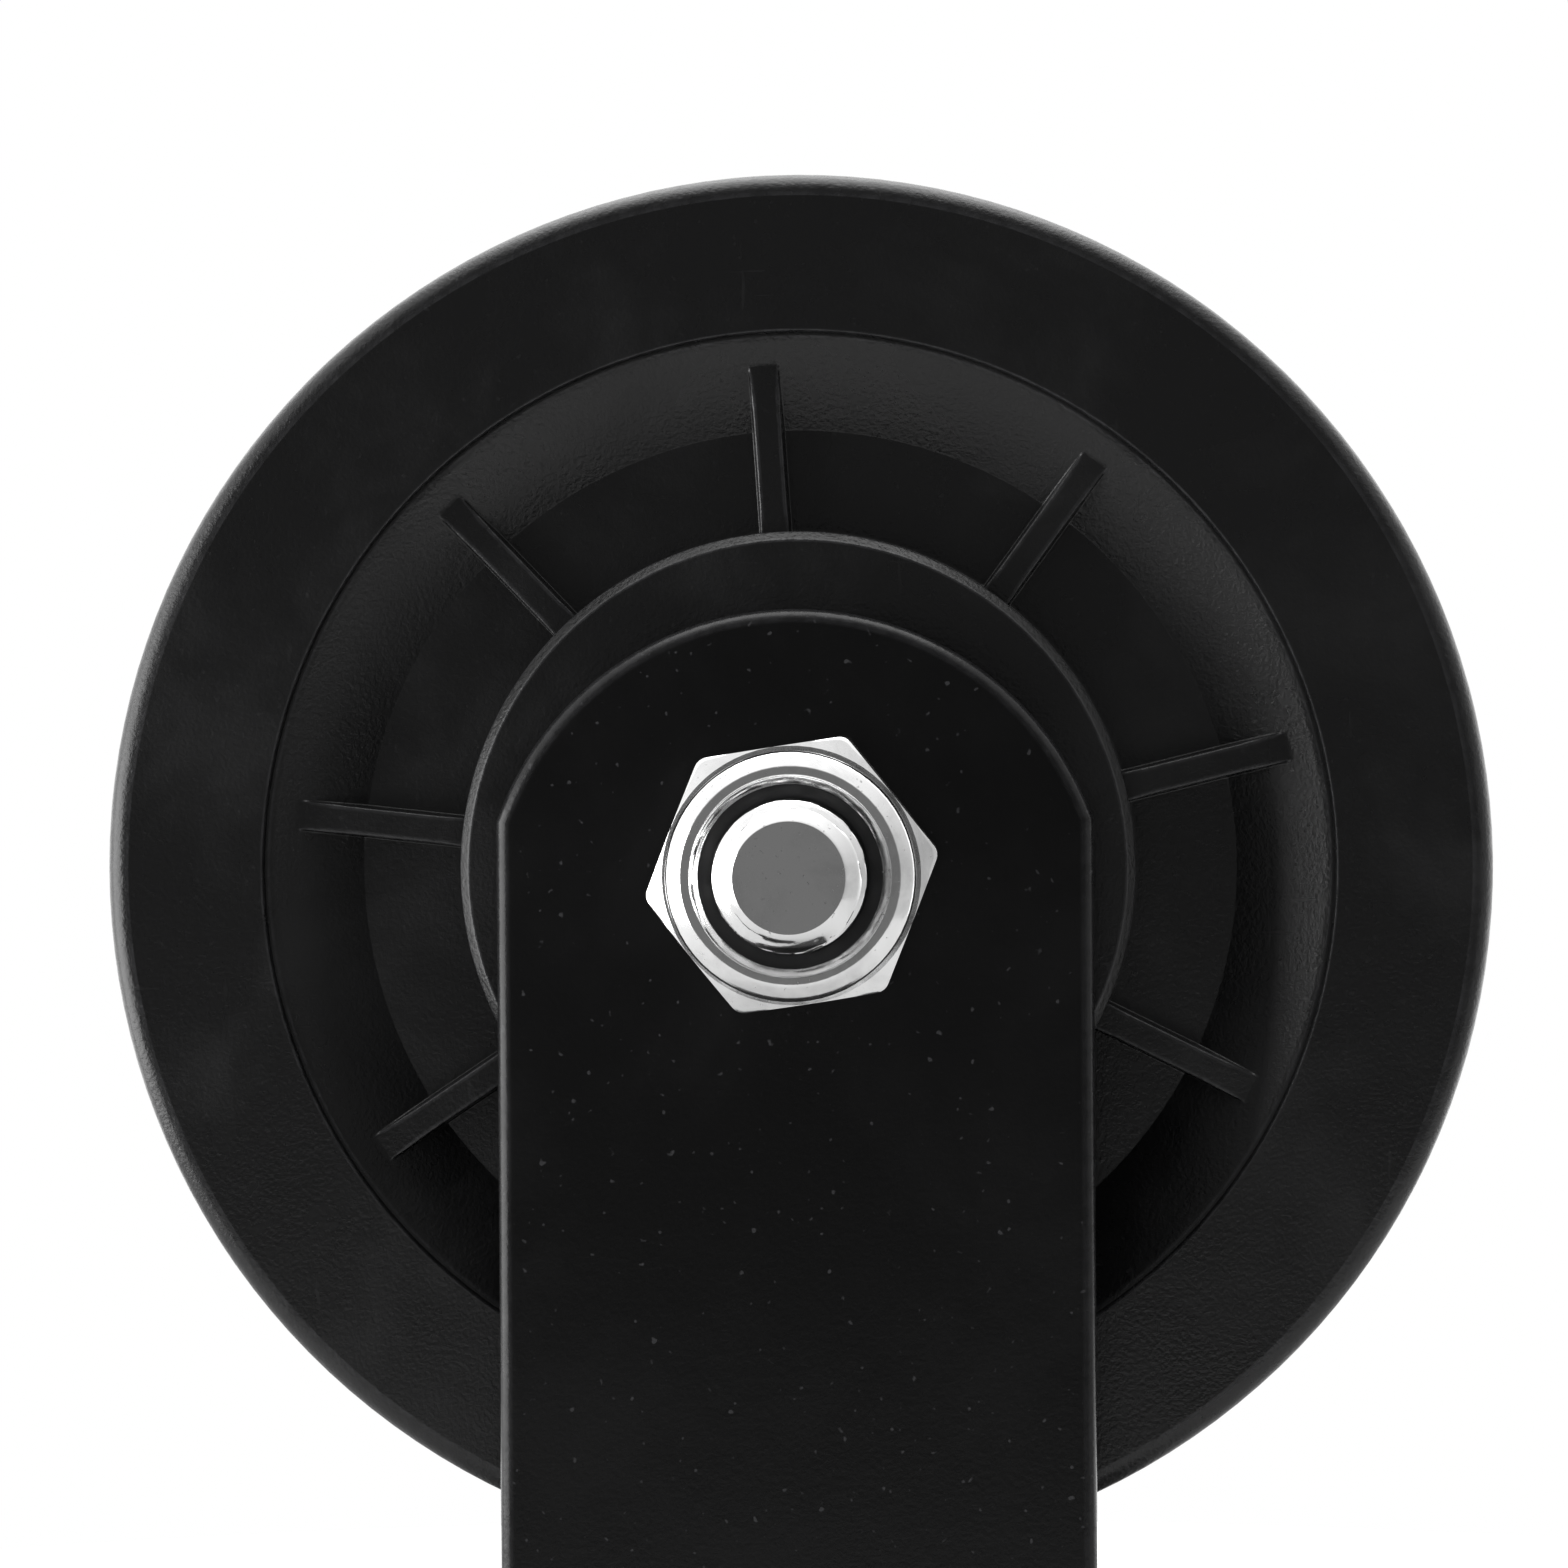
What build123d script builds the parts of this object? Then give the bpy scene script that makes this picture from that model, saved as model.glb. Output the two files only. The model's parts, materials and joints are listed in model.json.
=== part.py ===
"""Swivel-base single sheave block: a moulded wheel on two ball bearings in a bent strap fork.

Frame: +Z up, +X across the fork, +Y along the axle. The origin is the centre of the base plate's underside.
The axle nut is on the -Y side and the bolt head on the +Y side. All sizes are in millimetres.
"""

import os
from math import cos, radians, sin, sqrt, tan

from build123d import *

# --- driving dimensions -------------------------------------------------------------------------

# Sheave
SHEAVE_DIAMETER = 95.0
SHEAVE_RIM_WIDTH = 23.0
SHEAVE_HUB_DIAMETER = 46.0
SHEAVE_HUB_WIDTH = 27.0
SHEAVE_WEB_THICKNESS = 16.0
GROOVE_DEPTH = 9.5
GROOVE_ROOT_RADIUS = 3.5
GROOVE_HALF_ANGLE = 22.5
RIM_STEP_RADIUS = 36.6
RIM_STEP_HEIGHT = 0.5
RIM_CORNER_RADIUS = 1.5
GROOVE_LIP_RADIUS = 0.8
DISH_INNER_RADIUS = 30.1
HUB_CHAMFER = 0.6
RIB_COUNT = 9
RIB_WIDTH = 2.0
RIB_TOP_BELOW_RIM = 1.4
RIB_FIRST_ANGLE = 93.65

# Fork, bent from one strap
STRAP_WIDTH = 40.0
STRAP_THICKNESS = 5.0
FORK_GAP = 30.0
FORK_BEND_RADIUS = 4.0
EAR_TOP_ABOVE_AXLE = 17.6
EAR_ARC_RADIUS = 21.2
STRAP_OUTER_EDGE_RADIUS = 1.0
STRAP_INNER_EDGE_RADIUS = 0.3
EAR_HOLE_DIAMETER = 10.3

# Heights above the mounting surface
AXLE_HEIGHT = 79.0
CROWN_UNDERSIDE = 8.5

# Base plate
PLATE_SIDE = 80.0
PLATE_THICKNESS = 6.0
PLATE_CORNER_RADIUS = 10.0
PLATE_EDGE_RADIUS = 0.8
FIXING_SPACING = 60.0
FIXING_HOLE_DIAMETER = 9.0

# M10 fasteners
THREAD_DIAMETER = 10.0
SHANK_DIAMETER = 9.96
NUT_BORE_DIAMETER = 10.1
ACROSS_FLATS = 17.0
NUT_HEIGHT = 10.0
NUT_TURN = 8.5
BOLT_LENGTH = 55.0
BOLT_HEAD_HEIGHT = 6.4
BOLT_HEAD_TURN = 22.0
BOLT_WASHER_DIAMETER = 20.0
BOLT_WASHER_THICKNESS = 2.0
THREAD_END_CHAMFER = 1.3

# Swivel stack on the base plate
SLEEVE_DIAMETER = 14.0
SLEEVE_BORE_DIAMETER = 10.2
THRUST_WASHER_DIAMETER = 28.0
THRUST_WASHER_THICKNESS = 1.0
BUSH_DIAMETER = 17.0
BUSH_FLANGE_DIAMETER = 26.0
BUSH_FLANGE_THICKNESS = 1.4
RUNNING_CLEARANCE = 0.05
TOP_WASHER_DIAMETER = 21.0
TOP_WASHER_THICKNESS = 1.5
PIVOT_WASHER_DIAMETER = 20.0
PIVOT_WASHER_THICKNESS = 2.0
PIVOT_SCREW_PROUD = 1.5
COUNTERSINK_DIAMETER = 20.0
COUNTERSINK_RECESS = 0.3
SOCKET_ACROSS_FLATS = 6.0
SOCKET_DEPTH = 3.5

# Ball bearings, 10 x 26 x 8
BEARING_BORE = 10.0
BEARING_DIAMETER = 26.0
BEARING_WIDTH = 8.0
BEARING_INSET = 0.5
BALL_COUNT = 7
BALL_RADIUS = 2.381
BALL_PITCH_RADIUS = 9.0
RACE_CURVATURE = 1.04
RACE_CLEARANCE = 0.02
INNER_SHOULDER_RADIUS = 7.15
OUTER_SHOULDER_RADIUS = 10.9
SEAL_THICKNESS = 0.5
SEAL_RADIUS = 11.3
SEAL_INSET = 0.2
SPACER_DIAMETER = 14.0
HUB_SHOULDER_RADIUS = 11.0

# --- worked-out dimensions ----------------------------------------------------------------------

sheave_radius = SHEAVE_DIAMETER / 2
rim_face = SHEAVE_RIM_WIDTH / 2
hub_face = SHEAVE_HUB_WIDTH / 2
hub_radius = SHEAVE_HUB_DIAMETER / 2
web_face = SHEAVE_WEB_THICKNESS / 2
rib_face = rim_face - RIB_TOP_BELOW_RIM
ear_inner_face = FORK_GAP / 2
ear_outer_face = ear_inner_face + STRAP_THICKNESS
crown_top = CROWN_UNDERSIDE + STRAP_THICKNESS
sleeve_top = crown_top + TOP_WASHER_THICKNESS + 2 * RUNNING_CLEARANCE
pivot_nut_seat = sleeve_top + PIVOT_WASHER_THICKNESS
pivot_screw_end = pivot_nut_seat + NUT_HEIGHT + PIVOT_SCREW_PROUD
bearing_outer_face = hub_face - BEARING_INSET
bearing_inner_face = bearing_outer_face - BEARING_WIDTH
bearing_middle = (bearing_outer_face + bearing_inner_face) / 2


# --- helpers ------------------------------------------------------------------------------------


def turned(points):
    """Solid of revolution about Z from a closed outline of (radius, height) points."""
    outline = Polyline([(r, 0, z) for r, z in points], close=True)
    return revolve(make_face(outline), Axis.Z)


def turned_wire(*edges):
    """Solid of revolution about Z from edges that close an outline in the XZ plane."""
    return revolve(make_face(Wire(edges)), Axis.Z)


def ring(outer_diameter, inner_diameter, bottom, top, chamfer_size=0.0):
    """Flat ring about Z, with both outer edges chamfered."""
    outer, inner, c = outer_diameter / 2, inner_diameter / 2, chamfer_size
    if not c:
        return turned([(inner, bottom), (outer, bottom), (outer, top), (inner, top)])
    return turned(
        [
            (inner, bottom),
            (outer - c, bottom),
            (outer, bottom + c),
            (outer, top - c),
            (outer - c, top),
            (inner, top),
        ]
    )


def on_axle(solid, start=0.0):
    """A solid modelled about +Z goes onto the axle, with its +Z towards -Y and its base at y = start."""
    return Pos(0, start, AXLE_HEIGHT) * Rot(90, 0, 0) * solid


def at_rear(solid):
    """A front piece of the wheel or its bearings, mirrored to the rear."""
    return mirror(solid, Plane.XZ)


# --- base and swivel ----------------------------------------------------------------------------


def base_plate():
    outline = RectangleRounded(PLATE_SIDE, PLATE_SIDE, PLATE_CORNER_RADIUS)
    plate = extrude(outline, PLATE_THICKNESS)
    plate = fillet(plate.faces().sort_by(Axis.Z)[-1].edges(), PLATE_EDGE_RADIUS)
    for hole in GridLocations(FIXING_SPACING, FIXING_SPACING, 2, 2):
        plate -= hole * Cylinder(FIXING_HOLE_DIAMETER / 2, 3 * PLATE_THICKNESS)
    seat = COUNTERSINK_DIAMETER / 2
    shank = SLEEVE_BORE_DIAMETER / 2
    return plate - turned(
        [
            (0, -1),
            (seat, -1),
            (seat, COUNTERSINK_RECESS),
            (shank, COUNTERSINK_RECESS + seat - shank),
            (shank, PLATE_THICKNESS + 1),
            (0, PLATE_THICKNESS + 1),
        ]
    )


def pivot_screw():
    head, shank = COUNTERSINK_DIAMETER / 2, SHANK_DIAMETER / 2
    c = THREAD_END_CHAMFER
    body = turned(
        [
            (0, COUNTERSINK_RECESS),
            (head, COUNTERSINK_RECESS),
            (shank, COUNTERSINK_RECESS + head - shank),
            (shank, pivot_screw_end - c),
            (shank - c, pivot_screw_end),
            (0, pivot_screw_end),
        ]
    )
    socket = extrude(
        RegularPolygon(SOCKET_ACROSS_FLATS / 2, 6, major_radius=False), SOCKET_DEPTH
    )
    return body - Pos(0, 0, COUNTERSINK_RECESS) * socket


def pivot_sleeve():
    return ring(SLEEVE_DIAMETER, SLEEVE_BORE_DIAMETER, PLATE_THICKNESS, sleeve_top, 0.3)


def lower_thrust_washer():
    bottom = PLATE_THICKNESS
    bore = SLEEVE_DIAMETER + 0.2
    top = bottom + THRUST_WASHER_THICKNESS
    return ring(THRUST_WASHER_DIAMETER, bore, bottom, top, 0.2)


def crown_bush():
    bore = SLEEVE_DIAMETER / 2 + RUNNING_CLEARANCE
    flange_bottom = CROWN_UNDERSIDE - BUSH_FLANGE_THICKNESS
    return turned(
        [
            (bore, flange_bottom),
            (BUSH_FLANGE_DIAMETER / 2, flange_bottom),
            (BUSH_FLANGE_DIAMETER / 2, CROWN_UNDERSIDE),
            (BUSH_DIAMETER / 2, CROWN_UNDERSIDE),
            (BUSH_DIAMETER / 2, crown_top),
            (bore, crown_top),
        ]
    )


def top_thrust_washer():
    bore = SLEEVE_DIAMETER + 2 * RUNNING_CLEARANCE
    top = crown_top + TOP_WASHER_THICKNESS
    return ring(TOP_WASHER_DIAMETER, bore, crown_top, top, 0.3)


def pivot_washer():
    return ring(
        PIVOT_WASHER_DIAMETER, SLEEVE_BORE_DIAMETER, sleeve_top, pivot_nut_seat, 0.4
    )


# --- fasteners ----------------------------------------------------------------------------------


def hexagon(height, turn):
    """Hexagonal bar about Z, across-flats size ACROSS_FLATS, with a corner at the angle turn."""
    return extrude(
        Rot(0, 0, turn) * RegularPolygon(ACROSS_FLATS / 2, 6, major_radius=False),
        height,
    )


def lock_nut(turn):
    """Hexagon lock nut with a crimped collar, its seat at z = 0. The collar holds the insert."""
    corner = ACROSS_FLATS / sqrt(3) + 0.2
    hex_top, collar_radius = 7.1, 8.15
    seat_radius, chamfer_rise = 8.0, 0.9
    bore = NUT_BORE_DIAMETER / 2
    envelope = turned(
        [
            (bore, 0),
            (seat_radius, 0),
            (corner, chamfer_rise),
            (corner, hex_top - 1.0),
            (collar_radius, hex_top),
            (bore, hex_top),
        ]
    )
    body = hexagon(hex_top, turn) & envelope
    crest, lip = 7.35, 6.1
    collar = turned_wire(
        Line((7.0, 0, hex_top - 0.2), (collar_radius, 0, hex_top - 0.2)),
        Line((collar_radius, 0, hex_top - 0.2), (collar_radius, 0, NUT_HEIGHT - 0.9)),
        ThreePointArc(
            (collar_radius, 0, NUT_HEIGHT - 0.9),
            (collar_radius - 0.22, 0, NUT_HEIGHT - 0.25),
            (crest, 0, NUT_HEIGHT),
        ),
        Line((crest, 0, NUT_HEIGHT), (lip, 0, NUT_HEIGHT - 0.55)),
        Line((lip, 0, NUT_HEIGHT - 0.55), (lip, 0, NUT_HEIGHT - 0.9)),
        Line((lip, 0, NUT_HEIGHT - 0.9), (7.0, 0, NUT_HEIGHT - 0.9)),
        Line((7.0, 0, NUT_HEIGHT - 0.9), (7.0, 0, hex_top - 0.2)),
    )
    return body + collar


def lock_insert():
    """Locking ring that sits in the nut's collar, on the top of its hexagon."""
    return ring(13.9, NUT_BORE_DIAMETER, 7.15, NUT_HEIGHT - 0.95)


def axle_nut():
    return on_axle(lock_nut(NUT_TURN), -ear_outer_face)


def axle_nut_insert():
    return on_axle(lock_insert(), -ear_outer_face)


def pivot_nut():
    return Pos(0, 0, pivot_nut_seat) * lock_nut(30)


def pivot_nut_insert():
    return Pos(0, 0, pivot_nut_seat) * lock_insert()


def axle_bolt():
    """Hexagon bolt, head on the rear washer, modelled head down and then laid along the axle."""
    shank, c, head = SHANK_DIAMETER / 2, THREAD_END_CHAMFER, BOLT_HEAD_HEIGHT
    corner = ACROSS_FLATS / sqrt(3) + 0.2
    envelope = turned(
        [(0, 0), (8.0, 0), (corner, 1.1), (corner, head - 0.2), (8.3, head), (0, head)]
    )
    stem = turned(
        [
            (0, head - 0.5),
            (shank, head - 0.5),
            (shank, head + BOLT_LENGTH - c),
            (shank - c, head + BOLT_LENGTH),
            (0, head + BOLT_LENGTH),
        ]
    )
    bolt = (hexagon(head, BOLT_HEAD_TURN) & envelope) + stem
    return on_axle(bolt, ear_outer_face + BOLT_WASHER_THICKNESS + head)


def bolt_head_washer():
    washer = ring(
        BOLT_WASHER_DIAMETER, EAR_HOLE_DIAMETER, 0, BOLT_WASHER_THICKNESS, 0.4
    )
    return on_axle(washer, ear_outer_face + BOLT_WASHER_THICKNESS)


# --- fork ---------------------------------------------------------------------------------------


def fork_strap():
    """U-bent strap: the bent section is extruded across X, then cut to the rounded ear outline."""
    ear_top = AXLE_HEIGHT + EAR_TOP_ABOVE_AXLE
    bend_out = FORK_BEND_RADIUS + STRAP_THICKNESS
    outer = Plane.YZ * FilletPolyline(
        (-ear_outer_face, ear_top + 1),
        (-ear_outer_face, CROWN_UNDERSIDE),
        (ear_outer_face, CROWN_UNDERSIDE),
        (ear_outer_face, ear_top + 1),
        radius=bend_out,
    )
    inner = Plane.YZ * FilletPolyline(
        (ear_inner_face, ear_top + 1),
        (ear_inner_face, crown_top),
        (-ear_inner_face, crown_top),
        (-ear_inner_face, ear_top + 1),
        radius=FORK_BEND_RADIUS,
    )
    closing = [Line(outer @ 1, inner @ 0), Line(inner @ 1, outer @ 0)]
    section = make_face(Wire([*outer.edges(), *inner.edges(), *closing]))
    bent = extrude(section, STRAP_WIDTH / 2, both=True)

    arc_centre = ear_top - EAR_ARC_RADIUS
    half = STRAP_WIDTH / 2
    shoulder = arc_centre + sqrt(EAR_ARC_RADIUS**2 - half**2)
    outline = Wire(
        [
            Line((-half, 0, 0), (half, 0, 0)),
            Line((half, 0, 0), (half, 0, shoulder)),
            ThreePointArc((half, 0, shoulder), (0, 0, ear_top), (-half, 0, shoulder)),
            Line((-half, 0, shoulder), (-half, 0, 0)),
        ]
    )
    fork = bent & extrude(make_face(outline), 2 * ear_outer_face, both=True)

    def on_outside(face):
        """True for a face of the strap's outer skin: a cheek, the crown's underside or an outer bend."""
        box = face.bounding_box()
        cheek = box.size.Y < 0.01 and abs(abs(box.center().Y) - ear_outer_face) < 0.01
        under = abs(box.max.Z - CROWN_UNDERSIDE) < 0.01
        bend = abs(box.size.Z - bend_out) < 0.01 and box.size.X > half
        return cheek or under or bend

    skin = [f for f in fork.faces() if on_outside(f)]
    seen = [e for f in skin for e in f.edges()]
    rim = [e for e in seen if sum(e.is_same(other) for other in seen) == 1]
    fork = fillet(rim, STRAP_OUTER_EDGE_RADIUS)

    ear_hole = on_axle(Cylinder(EAR_HOLE_DIAMETER / 2, 4 * ear_outer_face))
    crown_hole = Pos(0, 0, CROWN_UNDERSIDE) * Cylinder(
        BUSH_DIAMETER / 2, 4 * STRAP_THICKNESS
    )
    return fork - ear_hole - crown_hole


# --- sheave -------------------------------------------------------------------------------------


def sheave_wheel():
    """Moulded wheel: one revolved section with a cable groove, and ribs across each dished side."""
    groove_root = sheave_radius - GROOVE_DEPTH
    arc_centre = groove_root + GROOVE_ROOT_RADIUS
    half_angle = radians(GROOVE_HALF_ANGLE)
    flank_foot = (
        arc_centre - GROOVE_ROOT_RADIUS * sin(half_angle),
        GROOVE_ROOT_RADIUS * cos(half_angle),
    )
    mouth = flank_foot[1] + (sheave_radius - flank_foot[0]) * tan(half_angle)
    dish_top = (RIM_STEP_RADIUS - 0.2, rim_face - RIM_STEP_HEIGHT)
    step_top = (RIM_STEP_RADIUS + 0.15, 0, rim_face)
    flange = FilletPolyline(
        step_top,
        (sheave_radius, 0, rim_face),
        (sheave_radius, 0, mouth),
        (flank_foot[0], 0, flank_foot[1]),
        radius=[RIM_CORNER_RADIUS, GROOVE_LIP_RADIUS],
    )
    root_angle = (half_angle + radians(90)) / 2
    seat = BEARING_DIAMETER / 2
    half = [
        Line((HUB_SHOULDER_RADIUS, 0, 0), (HUB_SHOULDER_RADIUS, 0, bearing_inner_face)),
        Line(
            (HUB_SHOULDER_RADIUS, 0, bearing_inner_face), (seat, 0, bearing_inner_face)
        ),
        Line((seat, 0, bearing_inner_face), (seat, 0, bearing_outer_face)),
        Line((seat, 0, bearing_outer_face), (seat + 0.4, 0, hub_face)),
        Line((seat + 0.4, 0, hub_face), (hub_radius - HUB_CHAMFER, 0, hub_face)),
        Line(
            (hub_radius - HUB_CHAMFER, 0, hub_face),
            (hub_radius, 0, hub_face - HUB_CHAMFER),
        ),
        Line((hub_radius, 0, hub_face - HUB_CHAMFER), (hub_radius, 0, web_face)),
        Line((hub_radius, 0, web_face), (DISH_INNER_RADIUS, 0, web_face)),
        Line((DISH_INNER_RADIUS, 0, web_face), (dish_top[0], 0, dish_top[1])),
        Line((dish_top[0], 0, dish_top[1]), (RIM_STEP_RADIUS, 0, dish_top[1])),
        Line((RIM_STEP_RADIUS, 0, dish_top[1]), step_top),
        *flange.edges(),
        ThreePointArc(
            (flank_foot[0], 0, flank_foot[1]),
            (
                arc_centre - GROOVE_ROOT_RADIUS * sin(root_angle),
                0,
                GROOVE_ROOT_RADIUS * cos(root_angle),
            ),
            (groove_root, 0, 0),
        ),
        Line((groove_root, 0, 0), (HUB_SHOULDER_RADIUS, 0, 0)),
    ]
    half_wheel = turned_wire(*half)
    rib_length = RIM_STEP_RADIUS - 0.2 - hub_radius
    rib_blank = Pos(hub_radius - 0.5, 0, web_face - 0.5) * Box(
        rib_length + 0.5,
        RIB_WIDTH,
        rib_face - web_face + 0.5,
        align=(Align.MIN, Align.CENTER, Align.MIN),
    )
    for i in range(RIB_COUNT):
        angle = RIB_FIRST_ANGLE + i * 360 / RIB_COUNT
        half_wheel += Rot(0, 0, angle) * rib_blank
    wheel = half_wheel + mirror(half_wheel, Plane.XY)
    return on_axle(wheel)


# --- bearings and spacers -----------------------------------------------------------------------


def race_groove(bottom_radius, side):
    """Three points of a ball groove: both ends on the shoulder, and the bottom. side is 1 outer, -1 inner."""
    groove_radius = BALL_RADIUS * RACE_CURVATURE
    centre = bottom_radius - side * groove_radius
    shoulder = OUTER_SHOULDER_RADIUS if side > 0 else INNER_SHOULDER_RADIUS
    half_width = sqrt(groove_radius**2 - (shoulder - centre) ** 2)
    return shoulder, half_width


def outer_race():
    bottom = BALL_PITCH_RADIUS + BALL_RADIUS + RACE_CLEARANCE
    shoulder, half_groove = race_groove(bottom, 1)
    outer, half = BEARING_DIAMETER / 2, BEARING_WIDTH / 2
    seal_seat = half - SEAL_INSET - SEAL_THICKNESS
    return turned_wire(
        Line((outer, 0, -half), (outer, 0, half)),
        Line((outer, 0, half), (SEAL_RADIUS, 0, half)),
        Line((SEAL_RADIUS, 0, half), (SEAL_RADIUS, 0, seal_seat)),
        Line((SEAL_RADIUS, 0, seal_seat), (shoulder, 0, seal_seat)),
        Line((shoulder, 0, seal_seat), (shoulder, 0, half_groove)),
        ThreePointArc(
            (shoulder, 0, half_groove), (bottom, 0, 0), (shoulder, 0, -half_groove)
        ),
        Line((shoulder, 0, -half_groove), (shoulder, 0, -seal_seat)),
        Line((shoulder, 0, -seal_seat), (SEAL_RADIUS, 0, -seal_seat)),
        Line((SEAL_RADIUS, 0, -seal_seat), (SEAL_RADIUS, 0, -half)),
        Line((SEAL_RADIUS, 0, -half), (outer, 0, -half)),
    )


def inner_race():
    bottom = BALL_PITCH_RADIUS - BALL_RADIUS - RACE_CLEARANCE
    shoulder, half_groove = race_groove(bottom, -1)
    bore, half = BEARING_BORE / 2, BEARING_WIDTH / 2
    return turned_wire(
        Line((bore, 0, -half), (bore, 0, half)),
        Line((bore, 0, half), (shoulder, 0, half)),
        Line((shoulder, 0, half), (shoulder, 0, half_groove)),
        ThreePointArc(
            (shoulder, 0, half_groove), (bottom, 0, 0), (shoulder, 0, -half_groove)
        ),
        Line((shoulder, 0, -half_groove), (shoulder, 0, -half)),
        Line((shoulder, 0, -half), (bore, 0, -half)),
    )


def balls():
    return Compound(
        [
            (loc * Sphere(BALL_RADIUS)).solid()
            for loc in PolarLocations(BALL_PITCH_RADIUS, BALL_COUNT)
        ]
    )


def cage():
    """Crown cage: a ring behind the balls with fingers between them."""
    pocket = BALL_RADIUS + 0.1
    crown = ring(20.0, 16.0, -3.1, 0.9)
    for loc in PolarLocations(BALL_PITCH_RADIUS, BALL_COUNT):
        crown -= loc * Sphere(pocket)
    return crown


def seal(side):
    """Rubber seal disc, held in the outer race, its lip just clear of the inner race."""
    outside = BEARING_WIDTH / 2 - SEAL_INSET
    low = outside - SEAL_THICKNESS if side > 0 else -outside
    inner = INNER_SHOULDER_RADIUS + RUNNING_CLEARANCE
    return ring(2 * SEAL_RADIUS, 2 * inner, low, low + SEAL_THICKNESS)


def bearing_parts():
    """Each bearing piece about Z, +Z towards the outside of the block."""
    return {
        "bearing_outer_race": outer_race(),
        "bearing_inner_race": inner_race(),
        "bearing_balls": balls(),
        "bearing_cage": cage(),
        "bearing_outside_seal": seal(1),
        "bearing_inside_seal": seal(-1),
    }


def spacer(bottom, top):
    return ring(SPACER_DIAMETER, BEARING_BORE + 0.1, bottom, top, 0.3)


# --- assembly -----------------------------------------------------------------------------------


def all_parts():
    parts = {
        "base_plate": base_plate(),
        "pivot_screw": pivot_screw(),
        "pivot_sleeve": pivot_sleeve(),
        "lower_thrust_washer": lower_thrust_washer(),
        "pivot_washer": pivot_washer(),
        "pivot_nut": pivot_nut(),
        "pivot_nut_insert": pivot_nut_insert(),
        "crown_bush": crown_bush(),
        "top_thrust_washer": top_thrust_washer(),
        "fork_strap": fork_strap(),
        "axle_bolt": axle_bolt(),
        "bolt_head_washer": bolt_head_washer(),
        "axle_nut": axle_nut(),
        "axle_nut_insert": axle_nut_insert(),
        "sheave_wheel": sheave_wheel(),
        "centre_spacer": on_axle(spacer(-bearing_inner_face, bearing_inner_face)),
    }
    side_spacer = on_axle(spacer(bearing_outer_face, ear_inner_face))
    parts["front_side_spacer"] = side_spacer
    parts["rear_side_spacer"] = at_rear(side_spacer)
    for name, piece in bearing_parts().items():
        front = on_axle(Pos(0, 0, bearing_middle) * piece)
        parts[f"front_{name}"] = front
        parts[f"rear_{name}"] = at_rear(front)
    return parts


os.makedirs("parts", exist_ok=True)
for node, shape in all_parts().items():
    export_step(shape, f"parts/{node}.step")
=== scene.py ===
"""Single sheave block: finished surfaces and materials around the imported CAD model.

Lengths are in metres. A turned shape is worked out about its own +Z, and on the axle that +Z points to -Y,
towards the nut. The angle of a turned shape is counted from +X towards +Z of the block, seen from the nut.
"""

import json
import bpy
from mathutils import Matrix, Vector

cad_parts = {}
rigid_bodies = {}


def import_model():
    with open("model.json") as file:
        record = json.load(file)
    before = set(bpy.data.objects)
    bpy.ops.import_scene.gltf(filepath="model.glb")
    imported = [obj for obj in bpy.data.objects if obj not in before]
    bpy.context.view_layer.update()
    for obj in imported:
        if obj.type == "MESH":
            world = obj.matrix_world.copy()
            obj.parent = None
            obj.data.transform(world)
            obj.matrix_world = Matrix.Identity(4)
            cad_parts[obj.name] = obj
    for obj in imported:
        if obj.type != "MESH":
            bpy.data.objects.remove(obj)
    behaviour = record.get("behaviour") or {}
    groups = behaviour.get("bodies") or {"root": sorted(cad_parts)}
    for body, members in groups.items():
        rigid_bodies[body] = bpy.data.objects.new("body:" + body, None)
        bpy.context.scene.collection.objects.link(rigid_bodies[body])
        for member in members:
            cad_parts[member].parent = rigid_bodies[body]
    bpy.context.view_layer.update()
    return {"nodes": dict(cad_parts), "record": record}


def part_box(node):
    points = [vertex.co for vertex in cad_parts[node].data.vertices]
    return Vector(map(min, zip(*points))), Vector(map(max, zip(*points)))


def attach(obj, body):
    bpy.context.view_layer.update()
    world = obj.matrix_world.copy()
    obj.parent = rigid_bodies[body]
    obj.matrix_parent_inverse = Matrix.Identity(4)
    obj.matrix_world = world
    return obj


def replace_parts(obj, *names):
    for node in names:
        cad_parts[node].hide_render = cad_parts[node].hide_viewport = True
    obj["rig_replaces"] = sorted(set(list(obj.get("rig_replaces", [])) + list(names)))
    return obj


bl_info = {
    "name": "Single Sheave Block",
    "version": (1, 0, 0),
    "blender": (4, 5, 0),
    "location": "View3D > Sidebar > Sheave Block",
    "description": "Builds the finished pieces and materials of a single sheave block around its CAD frame",
    "category": "Object",
}

from math import cos, pi, radians, sin, tan

import bmesh
import bpy
import numpy as np
from bpy.props import FloatProperty, FloatVectorProperty, IntProperty, PointerProperty
from mathutils import Quaternion, Vector

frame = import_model()

MM = 0.001
WELD_DISTANCE = 2e-6
SHARP_ANGLE = radians(38)
EDGE_MARGIN = 0.12 * MM
FLOOR_GAP = 0.02 * MM
TIP_LEAN = (radians(30), radians(60))
CHAMFER_SLOPE = tan(radians(30))
CHAMFER_START = 7.9 * MM
INSERT_WIDTH = 1.95 * MM
AXLE_THREAD = 26 * MM
PIVOT_THREAD = 16 * MM
THREAD_FLANK = 1.35
THREAD_CREST = 0.14
ROUND_STEPS = 96
OPEN = (False, True)
CLOSED = (True, True)

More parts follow.
